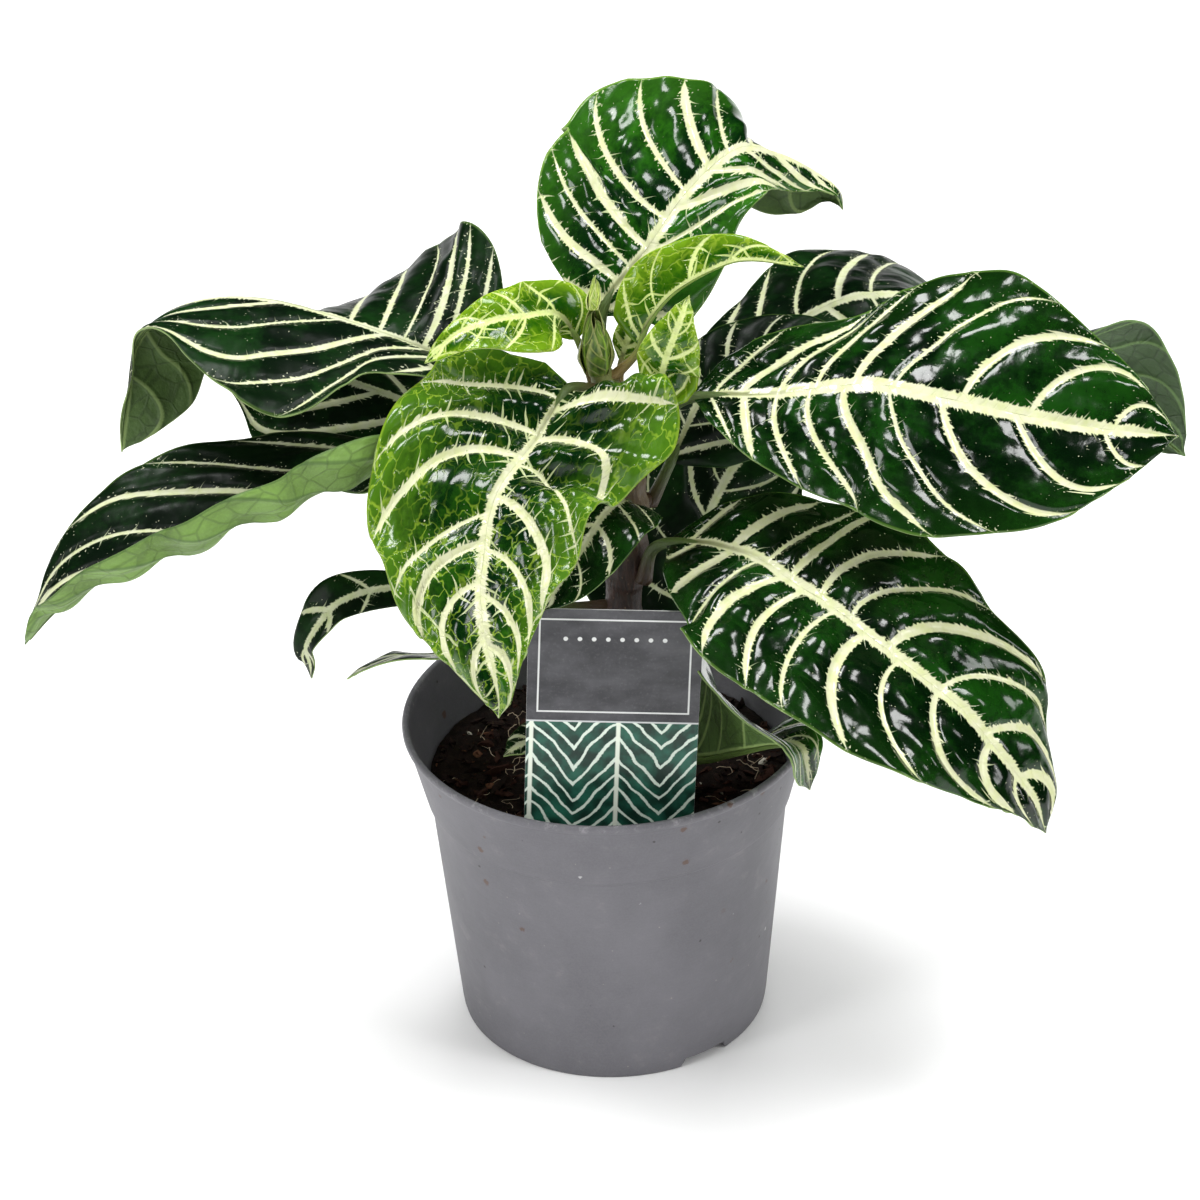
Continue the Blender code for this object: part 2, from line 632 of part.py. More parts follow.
def add_leaf(name, spec, mat):
    rings = leaf_rings(spec)
    size = len(rings[0])
    points = np.vstack(rings)
    faces = []
    for i in range(len(rings) - 1):
        for j in range(size):
            k = (j + 1) % size
            a, b = i * size, (i + 1) * size
            faces.append((a + j, a + k, b + k, b + j))
    faces.append(tuple(range(size))[::-1])
    last = (len(rings) - 1) * size
    faces.append(tuple(last + j for j in range(size)))
    obj = add_mesh(name, points, faces, mat)
    shape = bmesh.new()
    shape.from_mesh(obj.data)
    bmesh.ops.triangulate(shape, faces=shape.faces[:])
    bmesh.ops.recalc_face_normals(shape, faces=shape.faces[:])
    shape.to_mesh(obj.data)
    shape.free()
    return obj


for leaf, leaf_spec in LEAVES.items():
    add_leaf(leaf, leaf_spec, YOUNG_GREEN if leaf.startswith("young") else LEAF_GREEN)
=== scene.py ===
"""Potted zebra plant: the look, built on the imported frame. Leaf tables are in millimetres."""

import math

import bpy
import numpy as np
from mathutils import Matrix, Vector, noise


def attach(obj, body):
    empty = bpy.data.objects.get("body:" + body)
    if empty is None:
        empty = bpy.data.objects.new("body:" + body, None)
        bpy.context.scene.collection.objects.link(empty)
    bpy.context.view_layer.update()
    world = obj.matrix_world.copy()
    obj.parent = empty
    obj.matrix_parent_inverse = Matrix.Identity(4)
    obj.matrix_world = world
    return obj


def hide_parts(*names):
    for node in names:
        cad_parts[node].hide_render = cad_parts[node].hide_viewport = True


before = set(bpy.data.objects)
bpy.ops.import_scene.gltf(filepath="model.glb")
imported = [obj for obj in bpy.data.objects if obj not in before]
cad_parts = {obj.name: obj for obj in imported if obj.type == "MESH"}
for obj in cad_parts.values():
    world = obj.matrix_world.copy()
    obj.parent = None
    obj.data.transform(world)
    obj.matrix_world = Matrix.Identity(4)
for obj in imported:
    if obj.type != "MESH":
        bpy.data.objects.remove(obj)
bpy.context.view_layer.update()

MM = 0.001
ROOT = "root"

# Camera
ELEVATION = math.radians(31.7)
ROLL = math.radians(-1.6)
DISTANCE = 1.6
LENS = 161.8
AIM = (-1.2, 0.0, 50.0)
AIM_UP = 74.4

# Stem
STEM_POINTS = (
    (2, 0, 71),
    (2, 0, 82),
    (3, 0, 98),
    (4, 0, 112),
    (4, 0, 118),
    (6, 0, 142),
    (7, 0, 149),
    (8, 1, 168),
    (7, 2, 184),
    (5, 2, 197),
    (2, 2, 208),
    (0, 1, 214),
)
STEM_RADII = (5.2, 5.2, 5.0, 5.4, 5.1, 5.2, 5.4, 4.9, 4.3, 4.2, 3.4, 3.0)

# Leaf meshes
JOINT_GAP = 0.45
PITCH = 1.0
BLADE_THICK = 0.5
BIG = dict(across=3, rings=13, petiole=4, radius=2.0)
SMALL = dict(across=2, rings=9, petiole=3, radius=1.3)

# Each leaf: middle line from the stem to the tip, petiole length, direction its upper
# side faces along the blade, half widths from base to tip, and per half the lift of
# the rows in degrees, their further bend towards the margin and their sweep to the tip.
LEAVES = {
    "leaf_top": dict(
        BIG | dict(rings=17),
        rib=[(1, 7, 205), (2, 13, 226), (15, 24, 239), (27, 37, 250), (41, 48, 257), (52, 56, 252),
             (63, 60, 244), (71, 60, 237), (72, 57, 232)],
        stalk=20,
        face=[(0, -0.75, 0.6), (-0.1, -0.7, 0.6), (0, -0.6, 0.75), (0.3, -0.5, 0.8), (0.6, -0.4, 0.6)],
        left=[8, 38, 43, 43, 42, 32, 26, 27, 29, 26, 18, 1],
        left_lift=[0, 0, 0, 0, 0, -25, -80, -100, -90],
        left_sweep=[10, 22, 20, 25, 32, 32, 10, 0],
        right=[8, 22, 23, 21, 19, 17, 16, 14, 12, 9, 5, 1],
        right_lift=[-10, -15, -15, -10, 0, 0],
    ),
    "leaf_left_upper": dict(
        BIG,
        rib=[(-3, 3, 198), (-22, 5, 205), (-48, 8, 217), (-61, 12, 221), (-76, 16, 225), (-92, 20, 228),
             (-108, 22, 228), (-122, 23, 223), (-131, 22, 213), (-134, 19, 199), (-137, 16, 182)],
        stalk=30,
        face=[(0, -0.35, 0.94), (0, -0.35, 0.94), (-0.1, -0.3, 0.94), (-0.5, -0.2, 0.8), (-0.95, 0, 0.3)],
        right=[8, 36, 42, 40, 28, 20, 22, 24, 18, 1],
        right_lift=[35, 20, -25, -60, -80, -90, -95, -100],
        left=[6, 14, 24, 42, 45, 36, 20, 5, 2, 1],
        left_lift=[44, 30, 10, 8, 10, 30, 40, 40],
    ),
    "leaf_left_middle": dict(
        BIG,
        rib=[(-2, 3, 172), (-23, 10, 186), (-51, 22, 191), (-74, 29, 197), (-96, 33, 202), (-112, 33, 203)],
        stalk=30,
        face=[(0, -0.35, 0.94), (0, -0.4, 0.9), (-0.1, -0.4, 0.9)],
        right=[5, 16, 22, 22, 18, 12, 1],
        right_lift=[-20, -30, -30, -30],
        left=[5, 20, 29, 32, 30, 22, 1],
        left_lift=[0, -10, -25, -30],
    ),
    "leaf_left_low": dict(
        BIG,
        rib=[(-3, -1, 158), (-23, -6, 175), (-45, -9, 186), (-65, -12, 190), (-85, -15, 185),
             (-100, -18, 181), (-119, -20, 173), (-133, -22, 168), (-146, -23, 161), (-156, -23, 153),
             (-165, -22, 142)],
        stalk=25,
        face=[(0, -0.1, 1), (0, -0.1, 1), (0, -0.1, 1), (-0.2, -0.1, 1), (-0.5, -0.1, 0.8)],
        right=[4, 9, 15, 24, 30, 32, 28, 17, 1],
        right_lift=[0, -10, 5, 20, 20],
        left=[4, 13, 23, 30, 30, 28, 25, 16, 1],
        left_lift=[20, 10, -10, -10, 10],
        left_bend=[70, 100, 115, 110, 60],
    ),
    "leaf_front": dict(
        BIG,
        rib=[(1, -3, 207), (-7, -9, 213), (-11, -14, 212), (-18, -24, 205), (-27, -36, 199),
             (-31, -44, 193), (-33, -53, 184), (-34, -60, 177), (-33, -67, 168), (-30, -74, 154),
             (-30, -76, 147)],
        stalk=14,
        face=[(-0.1, -0.7, 0.65), (-0.1, -0.75, 0.65), (-0.05, -0.8, 0.5)],
        right=[22, 33, 37, 37, 35, 30, 24, 15, 8, 1],
        right_sweep=[-10, 0, 0],
        left=[22, 36, 39, 30, 29, 26, 21, 14, 7, 1],
        left_sweep=[-48, -28, -8, 0, 0],
    ),
    "leaf_right_upper": dict(
        BIG,
        rib=[(10, 0, 193), (18, -2, 200), (27, -5, 207), (48, -10, 210), (75, -17, 216),
             (93, -23, 215), (112, -29, 213), (130, -34, 211), (149, -38, 210), (159, -40, 210)],
        stalk=22,
        face=[(0, -0.3, 0.95), (0, -0.5, 0.85), (0, -0.6, 0.8), (0.1, -0.6, 0.8), (0.2, -0.55, 0.8)],
        left=[5, 22, 27, 29, 40, 42, 36, 29, 18, 1],
        left_lift=[0, -15, -15, 5, 10, 5],
        right=[3, 18, 29, 35, 39, 39, 36, 29, 17, 1],
        right_lift=[0, -10, -10, -10, 0],
    ),
    "leaf_right_lower": dict(
        BIG,
        rib=[(9, -2, 147), (15, -8, 160), (27, -18, 167), (42, -28, 168), (53, -38, 165),
             (64, -46, 161), (76, -54, 154), (87, -60, 147), (99, -65, 138), (109, -69, 126),
             (118, -71, 113), (122, -72, 101)],
        stalk=20,
        face=[(0.1, -0.5, 0.85), (0.3, -0.5, 0.8), (0.45, -0.5, 0.75)],
        left=[2, 14, 26, 35, 38, 37, 34, 32, 26, 15, 1],
        right=[4, 22, 32, 37, 38, 36, 34, 29, 20, 10, 1],
    ),
    "leaf_right_back": dict(
        BIG,
        rib=[(9, 8, 178), (18, 24, 182), (32, 38, 190), (53, 46, 199), (73, 52, 206), (91, 54, 205),
             (111, 54, 198), (128, 52, 186), (143, 48, 176), (157, 43, 168), (171, 38, 158)],
        stalk=40,
        face=[(0, -0.5, 0.85), (0.1, -0.45, 0.88), (0.2, -0.2, 0.95), (0.5, 0.8, 0.2), (0.5, 0.8, 0.1)],
        left=[5, 22, 36, 44, 40, 26, 16, 12, 1],
        left_lift=[-10, -30, -34, -34, -20, 0, 0],
        right=[6, 26, 34, 36, 32, 30, 33, 34, 25, 1],
        right_lift=[0, -10, -20, -10, 0, 0],
    ),
    "leaf_right_middle": dict(
        BIG,
        rib=[(11, 3, 168), (14, 5, 167), (21, 9, 180), (30, 16, 196), (39, 24, 200), (52, 31, 202),
             (67, 35, 201), (79, 37, 198)],
        stalk=16,
        face=[(0.2, -0.7, 0.7), (0.3, -0.6, 0.75), (0.2, -0.4, 0.85)],
        left=[3, 8, 11, 12, 11, 9, 6, 1],
        right=[8, 22, 26, 26, 24, 18, 10, 1],
    ),
    "leaf_back_low": dict(
        BIG,
        rib=[(9, 5, 116), (18, 13, 110), (26, 19, 114), (28, 26, 127), (30, 32, 141), (35, 38, 151),
             (42, 43, 160), (56, 50, 173), (68, 54, 180)],
        stalk=22,
        face=[(0.1, -0.85, 0.5), (0.1, -0.8, 0.6), (0.2, -0.6, 0.75)],
        left=[14, 32, 35, 33, 29, 24, 16, 8, 1],
        right=[5, 20, 28, 30, 28, 22, 14, 7, 1],
    ),
    "leaf_front_small": dict(
        SMALL,
        rib=[(8, -5, 170), (7, -14, 179), (1, -24, 181), (-6, -32, 174), (-13, -38, 166), (-18, -42, 160)],
        stalk=9,
        face=[(0, -0.6, 0.8), (0, -0.7, 0.7)],
        left=[10, 13, 13, 11, 8, 1],
        left_sweep=[-25, -15, 0, 0],
        right=[6, 10, 10, 8, 5, 1],
    ),
    "leaf_left_small": dict(
        SMALL,
        rib=[(-2, -1, 136), (-24, -3, 138), (-47, -4, 145), (-64, -6, 147), (-76, -8, 144),
             (-82, -10, 138), (-86, -11, 131), (-85, -12, 126), (-85, -12, 121)],
        stalk=30,
        face=[(0, -0.5, 0.85), (-0.3, -0.7, 0.6), (-0.7, -0.6, 0.3)],
        left=[2, 4, 5, 6, 5, 3, 1],
        right=[2, 3, 4, 6, 8, 6, 1],
    ),
    "leaf_left_narrow": dict(
        SMALL,
        rib=[(-2, -3, 122), (-19, -9, 130), (-39, -14, 130), (-50, -17, 131), (-59, -20, 133),
             (-69, -23, 131), (-74, -25, 129)],
        stalk=30,
        face=[(0, 0.42, 0.85), (0, 0.42, 0.85)],
        left=[2, 8, 10, 9, 5, 1],
        right=[2, 8, 10, 9, 5, 1],
    ),
    "leaf_right_low": dict(
        BIG,
        rib=[(9, -4, 104), (15, -10, 93), (26, -20, 96), (37, -31, 105), (47, -39, 112),
             (54, -44, 114), (56, -46, 109), (57, -47, 101)],
        stalk=16,
        face=[(0.3, 0, 1), (0.4, 0, 1), (0.3, -0.1, 1), (0.5, -0.5, 0.6)],
        right=[5, 14, 29, 38, 28, 13, 1],
        right_lift=[95, 92, 75, 40, 0],
        left=[5, 18, 22, 20, 14, 8, 1],
        left_lift=[15, 15, 10, 0],
    ),
    "leaf_low_tip": dict(
        SMALL,
        rib=[(0, -6, 98), (-14, -20, 104), (-24, -29, 108), (-30, -34, 107)],
        stalk=12,
        face=[(0, -0.3, 0.9), (-0.1, -0.4, 0.9)],
        left=[3, 8, 8, 5, 1],
        right=[3, 8, 8, 5, 1],
    ),
    "young_leaf_right": dict(
        SMALL,
        rib=[(5, 1, 211), (11, 1, 218), (14, 1, 227), (22, 3, 236), (35, 6, 242), (44, 7, 243),
             (58, 4, 242)],
        stalk=12,
        face=[(-0.3, -0.85, 0.4), (-0.1, -0.9, 0.45), (0, -0.9, 0.45)],
        left=[6, 12, 13, 11, 8, 4, 1],
        right=[6, 9, 9, 8, 5, 3, 1],
        right_lift=[-100],
    ),
    "young_leaf_upright": dict(
        SMALL,
        rib=[(5, -2, 204), (18, -6, 209), (18, -7, 216), (20, -7, 223), (23, -6, 231), (26, -3, 238)],
        stalk=12,
        face=[(0, -0.9, 0.4), (-0.1, -0.9, 0.4)],
        left=[2, 5, 8, 7, 4, 1],
        right=[4, 10, 10, 8, 4, 1],
    ),
    "young_leaf_left": dict(
        SMALL,
        rib=[(-4, 5, 207), (-6, 6, 221), (-11, 3, 230), (-20, -5, 234), (-29, -9, 235),
             (-39, -13, 233), (-48, -16, 226)],
        stalk=14,
        face=[(0, -0.6, 0.8), (-0.1, -0.6, 0.8), (-0.4, -0.6, 0.7)],
        right=[6, 10, 10, 9, 6, 3, 1],
        right_lift=[10],
        left=[4, 7, 12, 11, 8, 5, 1],
        left_lift=[-5],
    ),
    "young_leaf_wrapped": dict(
        SMALL,
        rib=[(5, 5, 205), (7, 8, 213), (9, 9, 219), (12, 11, 225), (15, 12, 230)],
        stalk=7,
        face=[(-0.1, -0.85, 0.5), (-0.2, -0.85, 0.45)],
        left=[2, 4, 4, 3, 1],
        right=[2, 4, 4, 3, 1],
    ),
}

# Side veins of each half, in percent of the blade: where each meets the middle line,
# and how far along it is halfway out and at the margin.
VEINS = {
    "leaf_top": dict(
        left=[(5, 3, 3), (10, 7, 8), (15, 11, 12), (22, 17, 17), (31, 29, 37), (40, 39, 43), (49, 48, 50), (56, 55, 57),
              (64, 65, 69), (73, 76, 82), (82, 86, 93)],
        right=[(2, 8, 18), (10, 20, 36), (20, 38, 62), (34, 50, 72), (48, 60, 80), (60, 70, 86), (72, 80, 93), (84, 89, 98)],
    ),
    "leaf_left_upper": dict(
        left=[(3, 9, 19), (9, 19, 36), (15, 29, 56), (23, 42, 75), (32, 62, 98), (44, 82, 110)],
        right=[(2, 3, 6), (7, 8, 11), (12, 13, 16), (16, 16, 20), (20, 21, 24), (25, 26, 28), (31, 32, 33), (38, 40, 43),
               (46, 50, 56), (55, 60, 68), (64, 70, 79), (74, 80, 89), (84, 89, 96)],
    ),
    "leaf_left_middle": dict(
        left=[(4, 16, 40), (14, 36, 72), (28, 56, 98), (46, 74, 116), (66, 90, 125)],
        right=[(5, 12, 25), (20, 28, 42), (36, 46, 60), (54, 64, 78), (72, 80, 92)],
    ),
    "leaf_left_low": dict(
        left=[(14, 24, 40), (28, 38, 54), (42, 52, 68), (56, 66, 80), (70, 78, 90), (84, 90, 98)],
        right=[(12, 28, 52), (30, 48, 68), (44, 62, 84), (60, 80, 98), (76, 92, 108)],
    ),
    "leaf_front": dict(
        right=[(5, 11, 25), (17, 24, 41), (25, 36, 54), (44, 54, 66), (52, 61, 76), (63, 71, 86), (78, 85, 96)],
        left=[(1, 2, 5), (9, 10, 13), (19, 22, 38), (28, 35, 57), (39, 50, 75), (54, 63, 84), (66, 75, 91), (80, 86, 97)],
    ),
    "leaf_right_upper": dict(
        right=[(4, 6, 10), (11, 12, 14), (18, 18, 23), (25, 26, 38), (32, 37, 58), (41, 50, 69), (52, 62, 83),
               (67, 77, 90), (85, 89, 94)],
        left=[(5, 8, 17), (10, 18, 35), (18, 24, 37), (26, 30, 41), (34, 39, 52), (42, 50, 71), (56, 64, 84),
              (70, 77, 94), (87, 91, 99)],
    ),
    "leaf_right_lower": dict(
        left=[(6, 8, 12), (15, 18, 22), (23, 24, 27), (29, 29, 34), (36, 37, 48), (43, 46, 64), (52, 58, 79),
              (64, 71, 87), (76, 82, 95), (87, 91, 99)],
        right=[(8, 4, 2), (16, 11, 8), (22, 18, 18), (28, 25, 29), (33, 31, 37), (40, 39, 46), (47, 48, 58),
               (55, 58, 73), (64, 70, 87), (78, 81, 91), (86, 89, 97)],
    ),
    "leaf_right_back": dict(
        left=[(4, 7, 14), (12, 15, 22), (20, 24, 33), (28, 32, 38), (34, 37, 43), (43, 48, 56), (55, 60, 70),
              (68, 73, 83), (82, 87, 96)],
    ),
    "leaf_back_low": dict(
        left=[(12, 20, 34), (26, 38, 60), (40, 56, 82), (51, 64, 88), (68, 78, 95)],
        right=[(10, 18, 32), (24, 34, 52), (38, 49, 69), (49, 62, 85), (66, 78, 96)],
    ),
}


def even_samples(values, count):
    """Smooth curve through evenly spaced values, sampled evenly."""
    v = np.asarray(values, float)
    if v.ndim == 1:
        v = v[:, None]
    if len(v) == 1:
        return np.repeat(v, count, 0)
    padded = np.vstack([2 * v[0] - v[1], v, 2 * v[-1] - v[-2]])
    t = np.linspace(0, len(v) - 1, count)
    i = np.minimum(t.astype(int), len(v) - 2)
    f = (t - i)[:, None]
    a, b, c, d = padded[i], padded[i + 1], padded[i + 2], padded[i + 3]
    cubic = (2 * a - 5 * b + 4 * c - d) * f**2 + (-a + 3 * b - 3 * c + d) * f**3
    return 0.5 * (2 * b + (c - a) * f + cubic)


def unit(vectors):
    return vectors / np.maximum(np.linalg.norm(vectors, axis=-1, keepdims=True), 1e-12)


def along(path, lengths, at):
    return np.stack([np.interp(at, lengths, path[:, k]) for k in range(path.shape[1])], 1)


def smooth_step(low, high, value):
    f = np.clip((value - low) / (high - low), 0, 1)
    return f * f * (3 - 2 * f)


def rough(points, seed=0.0):
    """Noise from -1 to 1 at each point."""
    flat = np.asarray(points, float).reshape(-1, 3) + seed * 17.3
    return np.array([noise.noise(p) for p in flat]).reshape(np.shape(points)[:-1])


def grid_quads(rows, cols, first=0, ring=False, flip=False):
    """Faces of a grid of points; with ring, each row closes on itself."""
    i, j = np.meshgrid(np.arange(rows - 1), np.arange(cols if ring else cols - 1), indexing="ij")
    k = (j + 1) % cols
    quads = np.stack([i * cols + j, i * cols + k, (i + 1) * cols + k, (i + 1) * cols + j], -1).reshape(-1, 4)
    return (quads[:, ::-1] if flip else quads) + first


def add_piece(name, points, quads, mats, slots=None, values=None):
    """Object of quads from points in millimetres, with named values at its points."""
    points = np.asarray(points, float).reshape(-1, 3)
    quads = np.asarray(quads, np.int32)
    mesh = bpy.data.meshes.new(name)
    mesh.vertices.add(len(points))
    mesh.vertices.foreach_set("co", (points * MM).astype(np.float32).ravel())
    mesh.loops.add(quads.size)
    mesh.loops.foreach_set("vertex_index", quads.ravel())
    mesh.polygons.add(len(quads))
    mesh.polygons.foreach_set("loop_start", np.arange(0, quads.size, quads.shape[1], dtype=np.int32))
    mesh.polygons.foreach_set("use_smooth", np.ones(len(quads), bool))
    for mat in mats:
        mesh.materials.append(mat)
    if slots is not None:
        mesh.polygons.foreach_set("material_index", np.asarray(slots, np.int32))
    mesh.update(calc_edges=True)
    for label, data in (values or {}).items():
        layer = mesh.attributes.new(label, "FLOAT_VECTOR", "POINT")
        layer.data.foreach_set("vector", np.asarray(data, np.float32).ravel())
    mesh.validate()
    obj = bpy.data.objects.new(name, mesh)
    bpy.context.scene.collection.objects.link(obj)
    return obj


def hand_over(obj, node):
    """The piece stands for a CAD node: it hangs under the root body and the node's part is hidden."""
    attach(obj, ROOT)
    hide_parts(node)


class Shade:
    """Short names for the nodes of one material."""

    def __init__(self, name, roughness=0.5, **constants):
        self.mat = bpy.data.materials.new(name)
        self.mat.use_nodes = True
        self.tree = self.mat.node_tree
        self.shader = self.tree.nodes["Principled BSDF"]
        self.shader.inputs["Roughness"].default_value = roughness
        for label, value in constants.items():
            self.shader.inputs[label.replace("_", " ")].default_value = value

    def put(self, socket, value):
        if isinstance(value, bpy.types.NodeSocket):
            self.tree.links.new(value, socket)
        elif socket.type == "RGBA":
            socket.default_value = (*value, 1)
        else:
            socket.default_value = value

    def node(self, kind, out=0, settings=None, **inputs):
        made = self.tree.nodes.new("ShaderNode" + kind)
        for label, value in (settings or {}).items():
            setattr(made, label, value)
        for label, value in inputs.items():
            self.put(made.inputs[int(label[1:]) if label[1:].isdigit() else label], value)
        return made.outputs[out]

    def math(self, operation, a, b=0.0, c=0.0):
        return self.node("Math", settings={"operation": operation}, i0=a, i1=b, i2=c)

    def add(self, a, b):
        return self.math("ADD", a, b)

    def sub(self, a, b):
        return self.math("SUBTRACT", a, b)

    def mul(self, a, b):
        return self.math("MULTIPLY", a, b)

    def step(self, value, low, high, to_low=0.0, to_high=1.0):
        """Smooth step from to_low at low to to_high at high."""
        return self.node("MapRange", settings={"interpolation_type": "SMOOTHSTEP"},
                         i0=value, i1=low, i2=high, i3=to_low, i4=to_high)

    def vector(self, x, y, z=0.0):
        return self.node("CombineXYZ", i0=x, i1=y, i2=z)

    def split(self, vector):
        made = self.tree.nodes.new("ShaderNodeSeparateXYZ")
        self.put(made.inputs[0], vector)
        return made.outputs[0], made.outputs[1], made.outputs[2]

    def value(self, label):
        return self.node("Attribute", out=1, settings={"attribute_name": label})

    def noise(self, vector, scale=1.0, detail=2.0, roughness=0.5):
        return self.node("TexNoise", Vector=vector, Scale=scale, Detail=detail, Roughness=roughness)

    def cells(self, vector, scale=1.0, feature="DISTANCE_TO_EDGE", out=0):
        return self.node("TexVoronoi", out=out, settings={"feature": feature}, Vector=vector, Scale=scale)

    def chance(self, vector):
        return self.node("TexWhiteNoise", settings={"noise_dimensions": "3D"}, Vector=vector)

    def mix(self, factor, a, b):
        made = self.tree.nodes.new("ShaderNodeMix")
        made.data_type = "RGBA"
        for index, value in ((0, factor), (6, a), (7, b)):
            self.put(made.inputs[index], value)
        return made.outputs[2]

    def colour(self, socket):
        self.put(self.shader.inputs["Base Color"], socket)

    def roughness(self, socket):
        self.put(self.shader.inputs["Roughness"], socket)

    def bump(self, height, strength=1.0):
        """Height in millimetres."""
        self.put(self.shader.inputs["Normal"],
                 self.node("Bump", Strength=strength, Distance=MM, Height=height))


def leaf_upper(name, deep, fresh, pale, margin, net, fringe=0.85, gloss=0.1, shine=0.45, cream=(0.64, 0.65, 0.44)):
    """Glossy green upper side with cream veins, jagged edges and fine branches."""
    g = Shade(name, gloss, Specular_IOR_Level=shine)
    phase, spread, out = g.split(g.value("veins"))
    down, side_way, part_way = g.split(g.value("place"))
    lateral_half, middle_half, near_tip = g.split(g.value("cream"))
    reach = g.math("ABSOLUTE", side_way)
    side = g.mul(g.math("SIGN", side_way), 9.0)
    index = g.math("ROUND", phase)
    across = g.mul(g.math("ABSOLUTE", g.sub(phase, index)), spread)
    flat = g.vector(down, side_way, side)

    # Jagged edges of the side veins and of the middle vein
    weave = g.vector(g.mul(reach, 1.1), g.mul(phase, 2.6), side)
    teeth = g.mul(g.step(g.noise(weave, 1.0, 2.0, 0.5), 0.5, 0.76), 1.25 * fringe)
    wide = g.add(lateral_half, g.mul(teeth, g.step(lateral_half, 0.1, 0.6)))
    lateral = g.step(g.sub(across, wide), 0.22, -0.16)
    comb = g.vector(g.mul(g.add(down, g.mul(reach, -0.45)), 1.25), g.mul(reach, 0.25), side)
    middle_teeth = g.mul(g.step(g.noise(comb, 1.0, 3.0, 0.65), 0.42, 0.75), 1.3 * fringe)
    middle = g.step(g.sub(reach, g.add(middle_half, g.mul(middle_teeth, g.step(middle_half, 0.2, 1.0)))), 0.25, -0.2)

    # Fine branches that leave the side veins and the middle vein
    wobble = g.mul(g.sub(g.noise(flat, 0.13, 1.0), 0.5), 1.0)
    def branches(position, distance, seed, every):
        place = g.add(g.math("DIVIDE", position, every), wobble)
        cell = g.math("FLOOR", place)
        offset = g.mul(g.math("ABSOLUTE", g.sub(g.sub(place, cell), 0.5)), every)
        length = g.mul(g.math("POWER", g.chance(g.vector(cell, seed, side)), 2.2 - 1.2 * net), 2.2 + 4.6 * net)
        left = g.sub(length, distance)
        thick = g.mul(g.step(left, 0.0, 4.5), 0.42)
        return g.mul(g.step(g.sub(offset, thick), 0.1, -0.12), g.step(left, 0.0, 0.8))
    twigs = branches(g.add(g.add(reach, g.mul(down, 0.8)), g.mul(across, 0.3)), g.sub(across, lateral_half), index, 4.2)
    shoots = branches(g.add(down, g.mul(reach, -0.75)), g.sub(reach, middle_half), 3.0, 3.4)
    twig = g.math("MAXIMUM", twigs, shoots)

    # Net of the finest veins
    netted = net > 0.4
    # Painted shade: towards the stalk end and the middle vein the green darkens and the net of fine veins fades.
    painted_base_shade = g.mul(g.step(part_way, 0.72, 0.2), g.step(out, 0.95, 0.35))
    if netted:
        sway = g.mul(g.sub(g.noise(flat, 0.32, 2.0), 0.5), 5.0)
        drift = g.mul(g.sub(g.noise(g.vector(side_way, down, side), 0.32, 2.0), 0.5), 5.0)
        edge = g.cells(g.vector(g.add(down, sway), g.add(side_way, drift), side), 0.26)
        clear = g.mul(g.step(g.noise(flat, 0.11, 2.0), 0.32, 0.6), g.sub(1.0, g.mul(painted_base_shade, 0.85)))
        web = g.mul(g.step(edge, 0.08, 0.01), clear)

    # Green ground
    cloud = g.noise(flat, 0.055, 3.0, 0.55)
    fleck = g.noise(flat, 0.5, 4.0, 0.6)
    lush = g.step(g.add(g.mul(cloud, 0.75), g.mul(fleck, 0.3)), 0.44, 0.72)
    # Painted shade darkens the green towards the stalk end and the middle vein.
    ground = g.mix(g.mul(lush, g.sub(1.0, g.mul(painted_base_shade, 0.75 * net))), deep, fresh)
    edge_green = tuple(0.9 * a + 0.17 * net * b for a, b in zip(fresh, pale))
    ground = g.mix(g.mul(g.step(g.add(out, g.mul(fleck, 0.5)), 0.6, 1.25), margin), ground, edge_green)
    grain = g.noise(flat, 1.9, 2.0, 0.7)
    halo = g.add(g.mul(out, 2.6 * net), 1.1 + 1.6 * net)
    close = g.math("MAXIMUM", g.step(across, halo, 0.4), g.step(reach, 2.2 + 1.2 * net, 0.8))
    if netted:
        close = g.math("MAXIMUM", close, g.mul(g.mul(g.step(edge, 0.16, 0.0), clear), net))
    stipple = g.step(g.add(g.mul(close, 0.5), grain), 1.0, 1.15)
    ground = g.mix(g.mul(stipple, 0.3 + 0.5 * net), ground, pale)
    if netted:
        ground = g.mix(g.mul(web, 0.9 * net), ground, pale)
    speck = g.step(g.add(g.noise(flat, 1.7, 0.0), g.mul(g.step(across, 3.5, 0.5), 0.12)), 0.83, 0.87)
    ground = g.mix(g.mul(speck, 0.7), ground, cream)
    ground = g.mix(g.mul(twig, 0.85), ground, tuple(0.6 * a + 0.4 * b for a, b in zip(cream, pale)))
    vein = g.math("MAXIMUM", lateral, middle)
    tone = g.mix(g.step(g.noise(flat, 0.35, 3.0), 0.3, 0.75), cream, tuple(c * k for c, k in zip(cream, (0.9, 0.95, 0.72))))
    tone = g.mix(g.mul(g.step(part_way, 0.3, 0.04), g.step(reach, 1.1, 0.3)), tone, (0.2, 0.22, 0.09))
    skin = g.mix(vein, ground, tone)
    skin = g.mix(g.mul(g.step(out, 0.975, 0.995), 0.55), skin, pale)
    g.colour(skin)
    g.roughness(g.add(gloss, g.mul(g.noise(flat, 0.3, 2.0), 0.1)))
    height = g.mul(g.step(across, 2.4, 0.0), -0.3)
    height = g.add(height, g.mul(g.step(reach, 3.0, 0.0), -0.3))
    if netted:
        height = g.add(height, g.mul(web, -0.015 - 0.1 * net))
    height = g.add(height, g.mul(twig, -0.08))
    height = g.add(height, g.mul(g.noise(flat, 0.16, 1.0, 0.4), 0.7))
    height = g.add(height, g.mul(g.noise(flat, 0.9, 1.0), 0.03))
    g.bump(height)
    return g.mat


